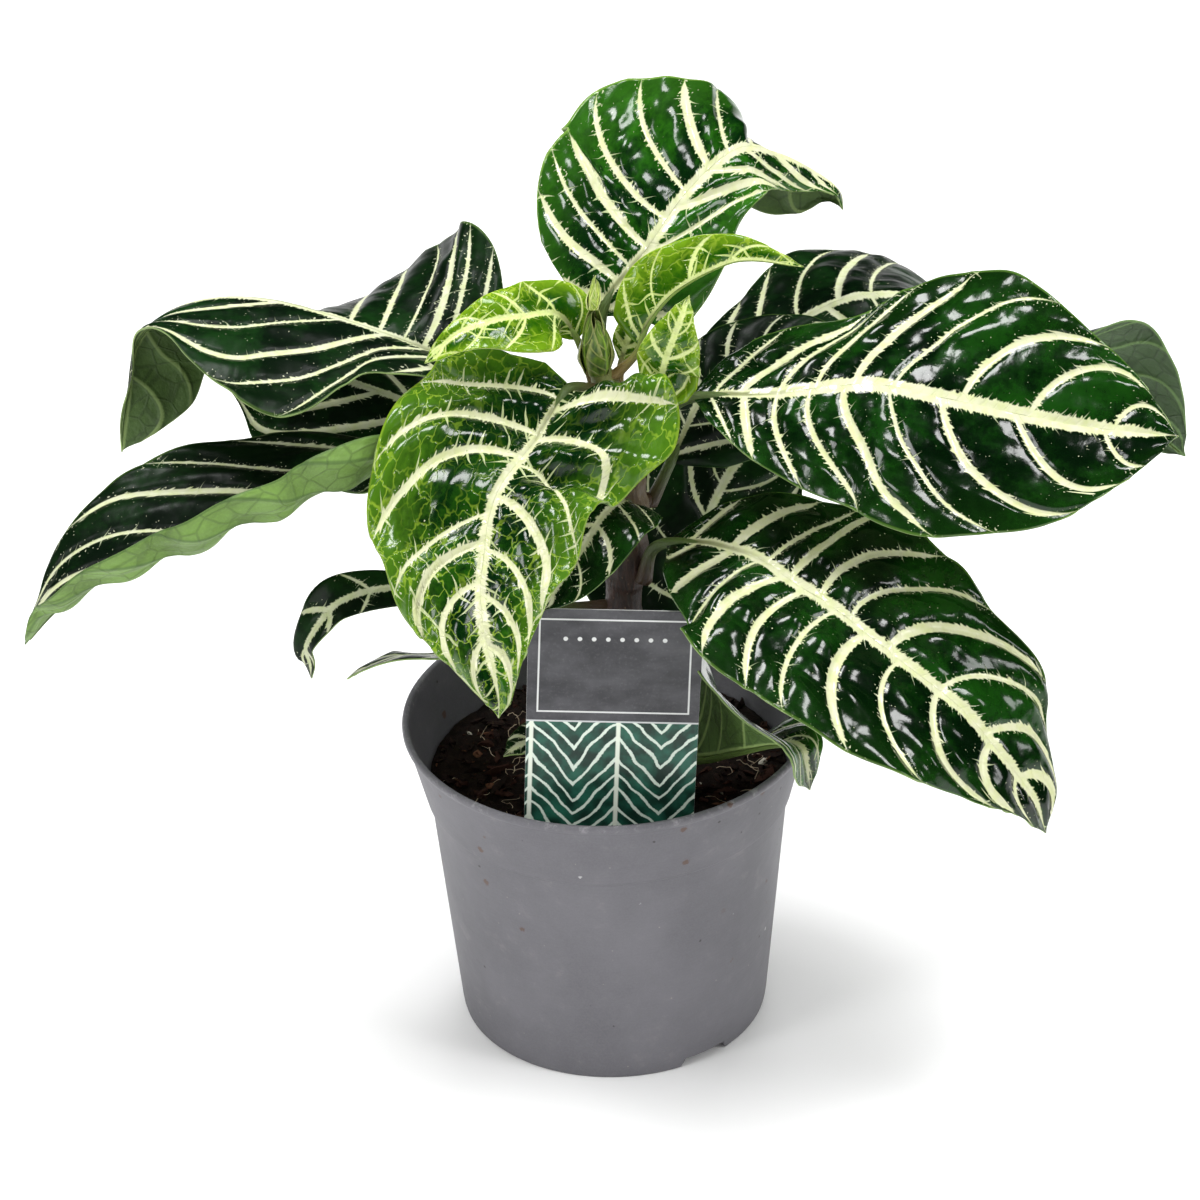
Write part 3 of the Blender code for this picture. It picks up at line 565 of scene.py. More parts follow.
def leaf_under(name, ground, vein):
    """Matte paler underside with low ridges where the veins run."""
    g = Shade(name, 0.55)
    phase, spread, out = g.split(g.value("veins"))
    down, side_way, part_way = g.split(g.value("place"))
    reach = g.math("ABSOLUTE", side_way)
    index = g.math("ROUND", phase)
    across = g.mul(g.math("ABSOLUTE", g.sub(phase, index)), spread)
    flat = g.vector(down, side_way, 0.0)
    cloud = g.noise(flat, 0.07, 4.0)
    colour = g.mix(g.step(cloud, 0.3, 0.7), tuple(0.62 * c for c in ground), ground)
    colour = g.mix(g.mul(g.step(g.noise(flat, 1.2, 3.0), 0.45, 0.7), 0.25), colour, tuple(1.3 * c for c in ground))
    web = g.step(g.cells(flat, 0.16), 0.07, 0.01)
    colour = g.mix(g.mul(web, 0.5), colour, tuple(0.45 * c for c in ground))
    colour = g.mix(g.mul(g.step(across, 0.7, 0.2), 0.6), colour, vein)
    colour = g.mix(g.mul(g.step(reach, 1.1, 0.4), 0.8), colour, vein)
    colour = g.mix(g.mul(g.step(out, 0.975, 0.995), 0.6), colour, vein)
    g.colour(colour)
    height = g.add(g.mul(g.step(across, 1.4, 0.0), 0.35), g.mul(web, 0.12))
    height = g.add(height, g.mul(g.noise(flat, 0.5, 4.0), 0.45))
    g.bump(height)
    return g.mat


def stalk_material(name, root_tone, leaf_tone):
    """Leaf stalk: reddish at the stem, green along the blade."""
    g = Shade(name, 0.4)
    down, turn, part_way = g.split(g.value("place"))
    flat = g.vector(g.mul(down, 0.25), g.mul(turn, 3.0), 0.0)
    tone = g.mix(g.step(down, 2.0, 17.0), root_tone, leaf_tone)
    tone = g.mix(g.step(part_way, 0.0, 0.25), tone, tuple(1.5 * c for c in leaf_tone))
    tone = g.mix(g.mul(g.step(g.noise(flat, 1.0, 4.0), 0.5, 0.75), 0.5), tone, tuple(0.4 * c for c in root_tone))
    g.colour(tone)
    g.bump(g.mul(g.noise(flat, 1.6, 4.0), 0.4))
    return g.mat


DARK = leaf_upper("leaf_green_dark", (0.0008, 0.0065, 0.0012), (0.006, 0.047, 0.003), (0.12, 0.24, 0.04), 0.3, 0.2)
SHADY = leaf_upper("leaf_green_shady", (0.0012, 0.006, 0.0018), (0.005, 0.03, 0.004), (0.1, 0.18, 0.04), 0.15, 0.12,
                   0.6, 0.3, 0.16, (0.58, 0.6, 0.42))
BRIGHT = leaf_upper("leaf_green_bright", (0.0012, 0.014, 0.002), (0.02, 0.13, 0.004), (0.25, 0.42, 0.08), 0.5, 0.35)
NETTED = leaf_upper("leaf_green_netted", (0.001, 0.014, 0.002), (0.02, 0.1, 0.003), (0.26, 0.4, 0.03), 1.0, 0.8, 1.0)
YOUNG = leaf_upper("young_leaf_green", (0.008, 0.065, 0.001), (0.1, 0.23, 0.003), (0.36, 0.5, 0.04), 0.9, 0.75, 0.5,
                   cream=(0.62, 0.7, 0.3))
UNDER = leaf_under("leaf_underside", (0.085, 0.16, 0.035), (0.3, 0.42, 0.14))
UNDER_DARK = leaf_under("leaf_underside_dark", (0.05, 0.1, 0.03), (0.16, 0.28, 0.08))
UNDER_PALE = leaf_under("leaf_underside_pale", (0.16, 0.29, 0.05), (0.05, 0.11, 0.02))
UNDER_YOUNG = leaf_under("young_leaf_underside", (0.16, 0.27, 0.05), (0.5, 0.62, 0.22))
STALK = stalk_material("leaf_stalk", (0.05, 0.026, 0.01), (0.07, 0.115, 0.022))
STALK_YOUNG = stalk_material("young_leaf_stalk", (0.2, 0.14, 0.04), (0.2, 0.3, 0.06))

# Finish of each leaf: materials, bulge between veins in mm, wave of the margin in mm and its
# length, half widths of the side and middle veins in mm.
PLAIN = dict(upper=DARK, under=UNDER, bulge=1.6, wave=0.9, every=34.0, lateral=0.85, middle=1.5, fold=(0, 20, 0, 1))
FINISH = {
    "leaf_top": dict(PLAIN, upper=BRIGHT, bulge=2.0, wave=1.6, lateral=1.0, middle=1.6, under=UNDER),
    "leaf_left_upper": dict(PLAIN, upper=SHADY, bulge=1.1, wave=1.4, lateral=0.75, middle=1.0),
    "leaf_left_middle": dict(PLAIN, upper=SHADY, bulge=1.6, wave=1.5, lateral=0.9, middle=1.1),
    "leaf_left_low": dict(PLAIN, upper=SHADY, under=UNDER_PALE, bulge=1.6, wave=1.0, lateral=0.7, middle=1.0, fold=(1.4, 19, 0.1, 0.9)),
    "leaf_front": dict(PLAIN, upper=NETTED, bulge=3.2, wave=1.8, every=22.0, lateral=1.0, middle=1.4, fold=(3.2, 17, 0, 0.3)),
    "leaf_right_upper": dict(PLAIN, bulge=1.7, lateral=0.95, middle=2.0),
    "leaf_right_lower": dict(PLAIN, bulge=2.0, wave=1.0, lateral=1.1, middle=1.8),
    "leaf_right_back": dict(PLAIN, upper=SHADY, under=UNDER_DARK, bulge=1.2, lateral=0.85, middle=1.3),
    "leaf_right_middle": dict(PLAIN, upper=SHADY, lateral=0.5, middle=0.9),
    "leaf_back_low": dict(PLAIN, upper=SHADY, lateral=0.5, middle=1.1),
    "leaf_front_small": dict(PLAIN, lateral=0.5, middle=0.8, bulge=0.9),
    "leaf_left_small": dict(PLAIN, upper=SHADY, lateral=0.6, middle=0.8, bulge=0.4, wave=0.4),
    "leaf_left_narrow": dict(PLAIN, upper=SHADY, lateral=0.7, middle=0.9, bulge=0.5, wave=0.5),
    "leaf_right_low": dict(PLAIN, upper=BRIGHT, lateral=0.4, middle=1.6, bulge=0.4, wave=0.3),
    "leaf_low_tip": dict(PLAIN, upper=SHADY, lateral=0.5, middle=0.9, bulge=0.6, wave=0.5),
}
YOUNG_PLAIN = dict(upper=YOUNG, under=UNDER_YOUNG, bulge=0.9, wave=0.9, every=15.0, lateral=0.4, middle=0.8, fold=(0, 20, 0, 1))


def stem_joint(first):
    """Point just off the stem at the height of first, and the direction outwards."""
    axis = np.array(STEM_POINTS, float)
    centre = np.array([np.interp(first[2], axis[:, 2], axis[:, k]) for k in range(2)] + [first[2]])
    radius = np.interp(first[2], axis[:, 2], STEM_RADII)
    out = np.array(first, float) - centre
    out[2] = 0
    out = unit(out)
    return centre + out * (radius + JOINT_GAP), out


def usual_veins(width, length):
    """Side veins where no table gives them."""
    count = int(np.clip(length / 11, 5, 11))
    lead = 85 * width / length
    starts = 3 + 84 * np.linspace(0, 1, count) ** 1.1
    return [(s, s + 0.38 * lead, min(s + 0.95 * lead, s + 0.6 * (100 - s) + 8)) for s in starts]


def vein_phase(table, parts, outs):
    """Phase that is a whole number on each side vein, at each place of one half."""
    rows = np.array(table, float) / 100
    phase = np.empty((len(parts), len(outs)))
    for j, x in enumerate(outs):
        a, b, c = rows[:, 0], rows[:, 1], rows[:, 2]
        place = a * (1 - x) * (1 - 2 * x) + 4 * b * x * (1 - x) + c * x * (2 * x - 1)
        place = np.maximum.accumulate(place + np.arange(len(place)) * 1e-4)
        place = np.concatenate([[place[0] - 0.13], place, [place[-1] + 0.13]])
        phase[:, j] = np.interp(parts, place, np.arange(-1, len(rows) + 1))
    return np.clip(phase, -0.46, len(rows) - 0.54)


def vein_spread(phase, points):
    """Millimetres of surface for one whole step of phase."""
    along_row = np.gradient(points, axis=0)
    along_col = np.gradient(points, axis=1)
    p, q = np.gradient(phase, axis=0), np.gradient(phase, axis=1)
    e = (along_row**2).sum(-1) + 1e-9
    f = (along_row * along_col).sum(-1)
    h = (along_col**2).sum(-1) + 1e-9
    slope = (h * p * p - 2 * f * p * q + e * q * q) / np.maximum(e * h - f * f, 1e-9)
    return np.clip(1 / np.sqrt(np.maximum(slope, 1e-6)), 3, 60)


def add_leaf(name, spec, number):
    finish = FINISH.get(name, YOUNG_PLAIN if name.startswith("young") else PLAIN)
    joint, out = stem_joint(spec["rib"][0])
    rib = [joint] + [np.array(p, float) for p in spec["rib"][1:]]
    dense = even_samples(rib, 60 * len(rib))
    dense_length = np.concatenate([[0], np.cumsum(np.linalg.norm(np.diff(dense, axis=0), axis=1))])
    lengths = np.linspace(0, dense_length[-1], 400)
    path = along(dense, dense_length, lengths)
    tangents = unit(np.gradient(path, axis=0))
    length = lengths[-1] - spec["stalk"]
    rows = int(length / PITCH) + 2
    parts = np.linspace(0, 1, rows)
    stations = spec["stalk"] + parts * length
    middle = along(path, lengths, stations)
    forward = unit(along(tangents, lengths, stations))
    face = even_samples(spec["face"], rows)
    face = unit(face - (face * forward).sum(1, keepdims=True) * forward)
    rightward = np.cross(forward, face)
    ends = np.sqrt(np.clip(parts * length / 5 + 0.01, 0, 1)) * np.clip((1 - parts) * length / 4 + 0.03, 0, 1) ** 0.7

    halves = []
    for side, sign in (("left", -1), ("right", 1)):
        width = np.maximum(even_samples(spec[side], rows)[:, 0], 0.3) * ends
        width *= 1 + 0.018 * np.sin(2 * np.pi * parts * length / finish["every"] + number + sign)
        cols = int(width.max() / PITCH) + 2
        outs = np.linspace(0.003, 1, cols)
        lift = np.radians(even_samples(spec.get(side + "_lift", [0]), rows)[:, 0])
        bend = np.radians(even_samples(spec.get(side + "_bend", [0]), rows)[:, 0])
        sweep = np.radians(even_samples(spec.get(side + "_sweep", [0]), rows)[:, 0])
        row = sign * np.cos(sweep)[:, None] * rightward + np.sin(sweep)[:, None] * forward
        place = middle.copy()
        points = np.empty((rows, cols, 3))
        before = 0.0
        for j, x in enumerate(outs):
            angle = lift + bend * (x + before) / 2
            slope = np.cos(angle)[:, None] * row + np.sin(angle)[:, None] * face
            place = place + (width * (x - before))[:, None] * slope
            points[:, j] = place
            before = x
        table = VEINS.get(name, {}).get(side) or usual_veins(width.max(), length)
        phase = vein_phase(table, parts, outs)
        spread = vein_spread(phase, points)
        thick = 0.8 + 0.35 * np.sin(2.4 * np.round(phase) + number)
        taper = (0.6 + 0.55 * np.sin(np.pi * outs**0.8)) * (1 - smooth_step(0.86, 0.985, outs))
        lateral = finish["lateral"] * thick * taper[None] * smooth_step(0.0, 0.35, width / max(width.max(), 1))[:, None]
        halves.append((points, phase, spread, lateral, width, outs, sign))

    (lp, lf, ls, ll, lw, lo, _), (rp, rf, rs, rl, rw, ro, _) = halves
    points = np.concatenate([lp[:, ::-1], rp], 1)
    phase = np.concatenate([lf[:, ::-1], rf], 1)
    spread = np.concatenate([ls[:, ::-1], rs], 1)
    lateral = np.concatenate([ll[:, ::-1], rl], 1)
    outs = np.concatenate([lo[::-1], ro])[None].repeat(rows, 0)
    across = np.concatenate([-lw[:, None] * lo[None, ::-1], rw[:, None] * ro[None]], 1)
    down = (parts * length)[:, None] + 0 * across
    part_way = parts[:, None] + 0 * across
    cols = points.shape[1]
    normal = unit(np.cross(np.gradient(points, axis=1), np.gradient(points, axis=0)))

    # Bulges between the veins, ripples, and a wavy margin
    gap = 1 - 2 * np.abs(phase - np.round(phase))
    bulge = (1 - gap**2) * np.minimum(1, spread / 11) * (1 - np.exp(-np.abs(across) / 4)) * (1 - 0.6 * outs**5)
    place = np.stack([down, across, 0 * down], -1)
    weave = np.stack([np.abs(across) / 6.5, phase * 1.1, np.sign(across) * 5], -1)
    ripple = rough(weave, number) * (1 - gap**2)
    broad = rough(place / 26, number + 5)
    wave = np.sin(2 * np.pi * down / finish["every"] + 2.1 * number + np.sign(across)) * outs**3
    size = finish["bulge"]
    height = size * bulge + 0.9 * size * ripple * (1 - np.exp(-np.abs(across) / 5)) + 0.7 * broad * outs
    height = height + finish["wave"] * wave * np.minimum(1, (lw + rw)[:, None] / 24)
    deep, pitch, from_part, to_part = finish["fold"]
    gate = smooth_step(from_part - 0.08, from_part, part_way) * smooth_step(to_part + 0.12, to_part, part_way) * (across < 0)
    folds = np.sin(2 * np.pi * down / pitch + 1.6 * np.sin(down / (1.7 * pitch)) + number)
    height = height + deep * gate * folds * np.sin(np.pi * np.minimum(outs, 0.62)) ** 2
    fade = smooth_step(0, 0.06, part_way) * smooth_step(1.0, 0.95, part_way)
    top = points + normal * (height * fade)[..., None]
    turned_normal = unit(np.cross(np.gradient(top, axis=1), np.gradient(top, axis=0)))
    under = top - turned_normal * BLADE_THICK

    size = rows * cols
    vertices = [top.reshape(-1, 3), under.reshape(-1, 3)]
    quads = [grid_quads(rows, cols), grid_quads(rows, cols, size, flip=True)]
    i = np.arange(rows - 1)
    left_edge = np.stack([i * cols, (i + 1) * cols, size + (i + 1) * cols, size + i * cols], 1)
    right_edge = left_edge[:, ::-1] + cols - 1
    j = np.arange(cols - 1)
    base_edge = np.stack([j + 1, j, size + j, size + j + 1], 1)
    tip_edge = base_edge[:, ::-1] + (rows - 1) * cols
    quads += [left_edge, right_edge, base_edge, tip_edge]
    slots = [np.zeros(len(quads[0]), int)] + [np.ones(len(q), int) for q in quads[1:]]

    # Stalk, which goes on under the blade as the raised middle vein
    stalk_stations = np.concatenate([np.arange(-3, spec["stalk"], 1.5), stations[:-2:2]])
    reach = np.clip(stalk_stations, 0, None)
    centres = along(path, lengths, reach) + out * np.minimum(stalk_stations, 0)[:, None]
    ahead = unit(along(tangents, lengths, reach))
    share = np.clip((stalk_stations - spec["stalk"]) / length, 0, 1)
    radius = spec["radius"] * (1 - 0.22 * smooth_step(0, spec["stalk"], reach)) * (1 - 0.85 * share**0.7)
    radius = radius * (1 + 0.35 * np.exp(-reach / 3.5))
    up = along(face, stations, stalk_stations)
    up = unit(up - (up * ahead).sum(1, keepdims=True) * ahead)
    side = np.cross(ahead, up)
    drop = radius * (0.1 + 0.95 * smooth_step(-0.02, 0.14, (stalk_stations - spec["stalk"]) / length))
    drop = drop + BLADE_THICK * 0.6 * smooth_step(0, 0.1, share)
    centres = centres - up * drop[:, None]
    turns = np.arange(16) * np.pi / 8
    shape = 1 + 0.12 * np.cos(turns + 0.4)
    ring = np.cos(turns)[None, :, None] * side[:, None] + np.sin(turns)[None, :, None] * up[:, None]
    tube = centres[:, None] + ring * (radius[:, None] * shape[None])[..., None]
    first = 2 * size
    vertices.append(tube.reshape(-1, 3))
    quads.append(grid_quads(len(tube), 16, first, ring=True, flip=True))
    slots.append(np.full(len(quads[-1]), 2))

    still = np.zeros(tube.shape[:2])
    tube_place = np.stack([stalk_stations[:, None] + still, turns[None] + still, share[:, None] + still], -1)
    middle_half = finish["middle"] * (0.45 + 0.55 * smooth_step(0.0, 0.3, parts)) * (1 - 0.35 * smooth_step(0.7, 1, parts))
    middle_half = middle_half * smooth_step(0, 0.4, (lw + rw) / max((lw + rw).max(), 1))
    veins = np.stack([phase, spread, outs], -1)
    placed = np.stack([down, across, part_way], -1)
    cream = np.stack([lateral, middle_half[:, None] + 0 * down, part_way], -1)
    values = {
        "veins": np.concatenate([veins.reshape(-1, 3), veins.reshape(-1, 3), np.zeros((still.size, 3))]),
        "place": np.concatenate([placed.reshape(-1, 3), placed.reshape(-1, 3), tube_place.reshape(-1, 3)]),
        "cream": np.concatenate([cream.reshape(-1, 3), cream.reshape(-1, 3), np.zeros((still.size, 3))]),
    }
    stalk = STALK_YOUNG if name.startswith("young") else STALK
    obj = add_piece(name + "_blade", np.concatenate(vertices), np.concatenate(quads),
                    [finish["upper"], finish["under"], stalk], np.concatenate(slots), values)
    hand_over(obj, name)


for number, (leaf, leaf_spec) in enumerate(LEAVES.items()):
    add_leaf(leaf, leaf_spec, number)

# Pot
POT_HEIGHT = 98.6
POT_WALL = 1.2
POT_BASE_RADIUS = 45.5
POT_WAIST_RADIUS = 52.5
COLLAR_RADIUS = 53.7
COLLAR_TOP_RADIUS = 58.6
COLLAR_Z = 74.6
LIP_RADIUS = 60.0
POT_FLOOR_UNDER = 3.4
POT_PAD_RADIUS = 14.0
POT_STEPS = 256
DRAIN_HOLES = 6
DRAIN_HOLE_RADIUS = 4.0
DRAIN_HOLE_RING = 30.0
NOTCH_TURNS = (35, 215)
NOTCH_WIDTH = 17.5
NOTCH_TOP_WIDTH = 13.8
NOTCH_HEIGHT = 3.1


def object_mm(g):
    """Place on the object in millimetres, as a vector and its three parts."""
    place = g.node("VectorMath", settings={"operation": "SCALE"}, i0=g.node("TexCoord", out=3), i3=1000.0)
    return place, *g.split(place)


def pot_material():
    """Grey moulded plastic with dust, brown spots, pale nicks and a painted highlight along the lip."""
    g = Shade("pot_plastic_worn", 0.5, Specular_IOR_Level=0.4)
    place, x, y, z = object_mm(g)
    cloud = g.noise(place, 0.03, 4.0, 0.6)
    tone = g.mix(g.step(cloud, 0.3, 0.7), (0.115, 0.113, 0.126), (0.15, 0.147, 0.163))
    fine = g.noise(place, 1.6, 3.0, 0.7)
    tone = g.mix(g.mul(g.step(fine, 0.35, 0.7), 0.35), tone, (0.18, 0.176, 0.195))
    dust = g.mul(g.step(g.noise(place, 0.12, 5.0, 0.75), 0.55, 0.75), 0.18)
    tone = g.mix(dust, tone, (0.33, 0.31, 0.29))
    def spots(scale, size, chance, colour, under, strength):
        near = g.cells(place, scale, "F1")
        pick = g.step(g.node("SeparateColor", i0=g.cells(place, scale, "F1", 1)), chance, chance + 0.01)
        ragged = g.add(near, g.mul(g.sub(g.noise(place, 1.4, 3.0), 0.5), 0.12))
        return g.mix(g.mul(g.mul(g.step(ragged, size, size * 0.6), pick), strength), under, colour)
    tone = spots(0.085, 0.12, 0.68, (0.1, 0.045, 0.02), tone, 0.7)
    tone = spots(0.16, 0.09, 0.8, (0.03, 0.025, 0.022), tone, 0.75)
    tone = spots(0.11, 0.07, 0.78, (0.5, 0.5, 0.5), tone, 0.85)
    tone = spots(0.3, 0.09, 0.84, (0.34, 0.31, 0.28), tone, 0.5)
    # Painted highlight: a lighter, broken band along the top of the lip.
    lip_highlight = g.mul(g.step(z, 95.6, 98.4), g.step(g.noise(place, 0.35, 4.0, 0.7), 0.5, 0.72))
    tone = g.mix(g.mul(lip_highlight, 0.5), tone, (0.4, 0.39, 0.4))
    g.colour(tone)
    g.roughness(g.add(0.42, g.mul(fine, 0.22)))
    scuff = g.noise(g.vector(g.mul(x, 0.12), g.mul(y, 0.12), g.mul(z, 1.3)), 1.0, 4.0)
    height = g.add(g.mul(fine, 0.05), g.mul(scuff, 0.06))
    height = g.add(height, g.mul(g.noise(place, 0.09, 2.0), 0.35))
    g.bump(height)
    return g.mat


def prism_cutter(name, outline_low, outline_high):
    count = len(outline_low)
    points = [tuple(v * MM for v in p) for p in list(outline_low) + list(outline_high)]
    faces = [tuple(range(count))[::-1], tuple(range(count, 2 * count))]
    faces += [(i, (i + 1) % count, count + (i + 1) % count, count + i) for i in range(count)]
    mesh = bpy.data.meshes.new(name)
    mesh.from_pydata(points, [], faces)
    obj = bpy.data.objects.new(name, mesh)
    bpy.context.scene.collection.objects.link(obj)
    return obj


def make_pot():
    inner_lip = COLLAR_TOP_RADIUS - POT_WALL
    pad_top = POT_FLOOR_UNDER + POT_WALL
    lip_arc = [(58.95 + 1.05 * math.cos(a), 97.3 + 1.3 * math.sin(a)) for a in np.linspace(math.pi * 0.86, -0.25, 12)]
    profile = [
        (0.01, POT_WALL), (POT_PAD_RADIUS - 2.0, POT_WALL), (POT_PAD_RADIUS - 0.6, pad_top),
        (POT_BASE_RADIUS - 2.6, pad_top), (POT_BASE_RADIUS - 1.4, pad_top + 0.3), (POT_BASE_RADIUS - 1.0, pad_top + 1.2),
        (POT_WAIST_RADIUS - 1.4, COLLAR_Z - 2.0), (COLLAR_RADIUS - POT_WALL, COLLAR_Z + 1.6), (inner_lip, 95.0),
        *lip_arc,
        (59.6, 96.2), (59.0, 95.7), (58.75, 95.2), (58.6, 94.5),
        (COLLAR_RADIUS + 0.25, COLLAR_Z + 1.0), (COLLAR_RADIUS + 0.05, COLLAR_Z + 0.3), (COLLAR_RADIUS - 0.3, COLLAR_Z - 0.1),
        (POT_WAIST_RADIUS + 0.25, COLLAR_Z - 0.35), (POT_WAIST_RADIUS, COLLAR_Z - 0.9),
        (POT_BASE_RADIUS + 0.25, 3.2), (POT_BASE_RADIUS, 1.4), (POT_BASE_RADIUS - 0.25, 0.4), (POT_BASE_RADIUS - 0.6, 0),
        (POT_BASE_RADIUS - 1.9, 0), (POT_BASE_RADIUS - 2.6, POT_FLOOR_UNDER), (POT_PAD_RADIUS + 0.8, POT_FLOOR_UNDER),
        (POT_PAD_RADIUS, 0), (0.01, 0),
    ]
    profile = np.array(profile)
    turns = np.arange(POT_STEPS) * 2 * np.pi / POT_STEPS
    sway = 1 + 0.0012 * np.sin(2 * turns + 0.6) * (profile[:, 1:] / POT_HEIGHT)
    ring = profile[:, :1] * sway
    points = np.stack([ring * np.cos(turns), ring * np.sin(turns), profile[:, 1:] + 0 * ring], -1)
    pot = add_piece("nursery_pot", points.reshape(-1, 3), grid_quads(len(profile), POT_STEPS, ring=True, flip=True), [pot_material()])
    cutters = []
    for number in range(DRAIN_HOLES):
        turn = 2 * math.pi * (number + 0.5) / DRAIN_HOLES
        x, y = DRAIN_HOLE_RING * math.cos(turn), DRAIN_HOLE_RING * math.sin(turn)
        circle = [(x + DRAIN_HOLE_RADIUS * math.cos(a), y + DRAIN_HOLE_RADIUS * math.sin(a)) for a in np.linspace(0, 2 * math.pi, 33)[:-1]]
        cutters.append(prism_cutter(f"drain_{number}", [(*p, 1) for p in circle], [(*p, 7) for p in circle]))
    for number, degrees in enumerate(NOTCH_TURNS):
        turn = math.radians(degrees)
        corners = []
        for height, width in ((-1.0, NOTCH_WIDTH), (NOTCH_HEIGHT, NOTCH_TOP_WIDTH)):
            level = []
            for reach, across in ((40, -0.5), (49, -0.5), (49, 0.5), (40, 0.5)):
                x = reach * math.sin(turn) + across * width * math.cos(turn)
                y = -reach * math.cos(turn) + across * width * math.sin(turn)
                level.append((x, y, height))
            corners.append(level)
        cutters.append(prism_cutter(f"notch_{number}", corners[0], corners[1]))
    for cutter in cutters:
        cut = pot.modifiers.new(cutter.name, "BOOLEAN")
        cut.operation = "DIFFERENCE"
        cut.solver = "EXACT"
        cut.object = cutter
    graph = bpy.context.evaluated_depsgraph_get()
    finished = bpy.data.meshes.new_from_object(pot.evaluated_get(graph))
    pot.modifiers.clear()
    pot.data = finished
    for cutter in cutters:
        bpy.data.objects.remove(cutter, do_unlink=True)
    hand_over(pot, "pot")


make_pot()

# Soil
SOIL_TOP = 80.0
SOIL_RADIUS = 52.3
CRUMBS = 900
FIBRES = 70
pick = np.random.default_rng(7)


def soil_height(x, y):
    points = np.stack([x, y, np.zeros_like(x)], -1)
    far = np.hypot(x, y) / SOIL_RADIUS
    return SOIL_TOP + 0.9 * rough(points / 9, 1) + 0.6 * rough(points / 3.2, 2) + 0.35 * rough(points / 1.4, 3) - 1.2 * far**3


def soil_material(name, dark, light, bump):
    g = Shade(name, 0.85, Specular_IOR_Level=0.3)
    place, x, y, z = object_mm(g)
    tint, _, _ = g.split(g.value("tint"))
    tone = g.mix(g.step(g.noise(place, 0.5, 5.0, 0.7), 0.3, 0.72), dark, light)
    tone = g.mix(g.step(g.noise(place, 2.2, 3.0, 0.7), 0.6, 0.75), tone, (0.11, 0.045, 0.025))
    tone = g.mix(g.step(tint, 0.55, 0.6), tone, (0.04, 0.014, 0.008))
    tone = g.mix(g.step(tint, 0.86, 0.87), tone, (0.13, 0.055, 0.028))
    tone = g.mix(g.step(tint, 0.955, 0.96), tone, (0.62, 0.58, 0.5))
    g.colour(tone)
    g.bump(g.add(g.mul(g.noise(place, 1.2, 6.0, 0.7), bump), g.mul(g.noise(place, 4.0, 2.0), 0.1)))
    return g.mat


